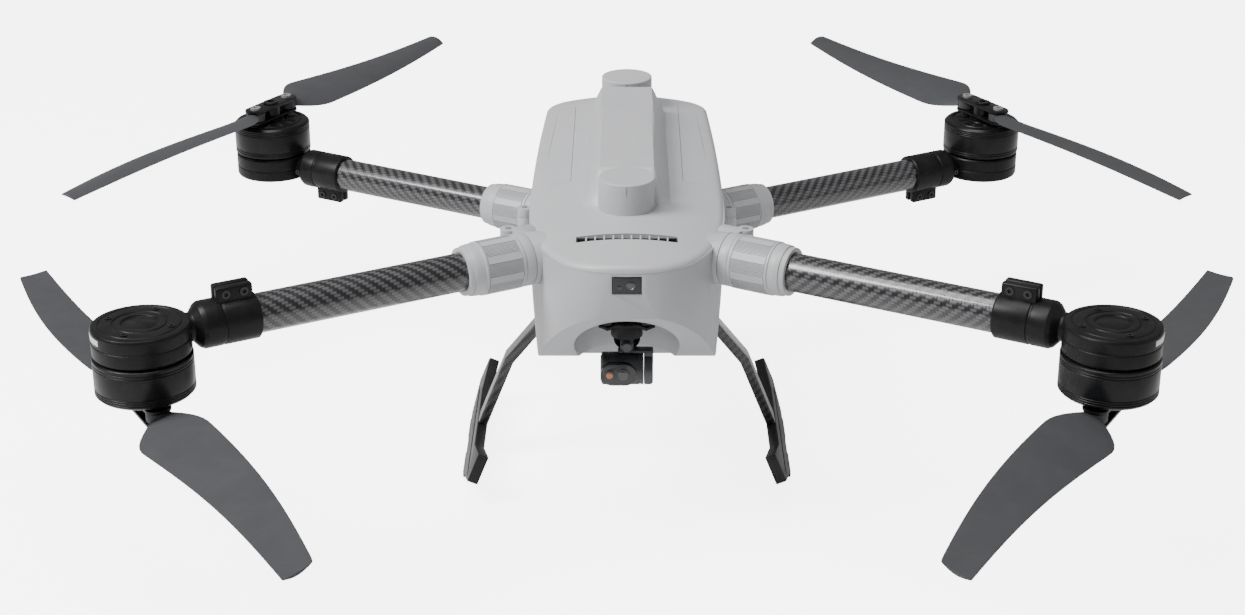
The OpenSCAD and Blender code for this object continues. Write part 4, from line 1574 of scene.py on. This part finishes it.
@dataclass
class Studio:
    """Pale floor, soft lights and the camera."""

    camera_at: Point = (0.0, -1.807, 0.879)
    pitch_deg: float = 22.8
    lens_mm: float = 65.35
    shift: float = -0.0035
    sky: float = 0.28
    floor_glow: float = 5.0

    def build(self) -> None:
        """Make the floor, the lights, the world and the camera."""
        self._floor()
        self._light("key", (-2.3, -0.9, 2.9), 1.4, 165.0)
        self._light("fill", (2.4, -0.6, 1.2), 1.6, 4.0)
        self._light("top", (-0.5, -0.5, 3.3), 1.6, 65.0)
        world = bpy.data.worlds.new("studio")
        world.use_nodes = True
        world.node_tree.nodes["Background"].inputs["Color"].default_value = (1.0, 1.0, 1.0, 1.0)
        world.node_tree.nodes["Background"].inputs["Strength"].default_value = self.sky
        bpy.context.scene.world = world
        data = bpy.data.cameras.new("camera")
        data.lens = self.lens_mm
        data.sensor_width = 36.0
        data.shift_x = self.shift
        data.clip_end = 50.0
        camera = bpy.data.objects.new("camera", data)
        camera.location = self.camera_at
        camera.rotation_euler = (math.radians(90 - self.pitch_deg), 0.0, 0.0)
        bpy.context.scene.collection.objects.link(camera)
        bpy.context.scene.camera = camera

    def _floor(self) -> None:
        """Make the pale floor."""
        mesh = bmesh.new()
        bmesh.ops.create_grid(mesh, x_segments=1, y_segments=1, size=12.0)
        bmesh.ops.translate(mesh, verts=mesh.verts, vec=(0, 0, -0.0002))
        data = bpy.data.meshes.new("floor")
        mesh.to_mesh(data)
        mesh.free()
        material = bpy.data.materials.new("floor_paper")
        material.use_nodes = True
        shader = material.node_tree.nodes["Principled BSDF"]
        shader.inputs["Base Color"].default_value = (0.90, 0.90, 0.90, 1.0)
        shader.inputs["Roughness"].default_value = 0.9
        shader.inputs["Emission Color"].default_value = (1.0, 1.0, 1.0, 1.0)
        wires = Wires(material.node_tree)
        path = wires.node("ShaderNodeLightPath")
        wires.feed(wires.maths("MULTIPLY", path.outputs["Is Camera Ray"], self.floor_glow),
                   shader.inputs["Emission Strength"])
        data.materials.append(material)
        floor = bpy.data.objects.new("floor", data)
        bpy.context.scene.collection.objects.link(floor)

    @staticmethod
    def _light(name: str, place: Point, size: float, power: float) -> None:
        """Make one soft light that faces the middle of the object.

        Args:
            name: Name of the light.
            place: Where it stands.
            size: Side of its square.
            power: Its power in watts.
        """
        data = bpy.data.lights.new(name, "AREA")
        data.size = size
        data.energy = power
        light = bpy.data.objects.new(name, data)
        light.location = place
        aim = Vector((0.0, 0.0, 0.15)) - Vector(place)
        light.rotation_euler = aim.to_track_quat("-Z", "Y").to_euler()
        bpy.context.scene.collection.objects.link(light)


def main() -> None:
    """Build the studio and every sub-assembly."""
    logging.basicConfig(level=logging.INFO, format="%(message)s")
    Studio().build()
    Fuselage().build()
    LandingGear().build()
    GimbalCamera().build()
    for name in ARMS:
        Arm(name).build()


if __name__ == "__main__":
    main()
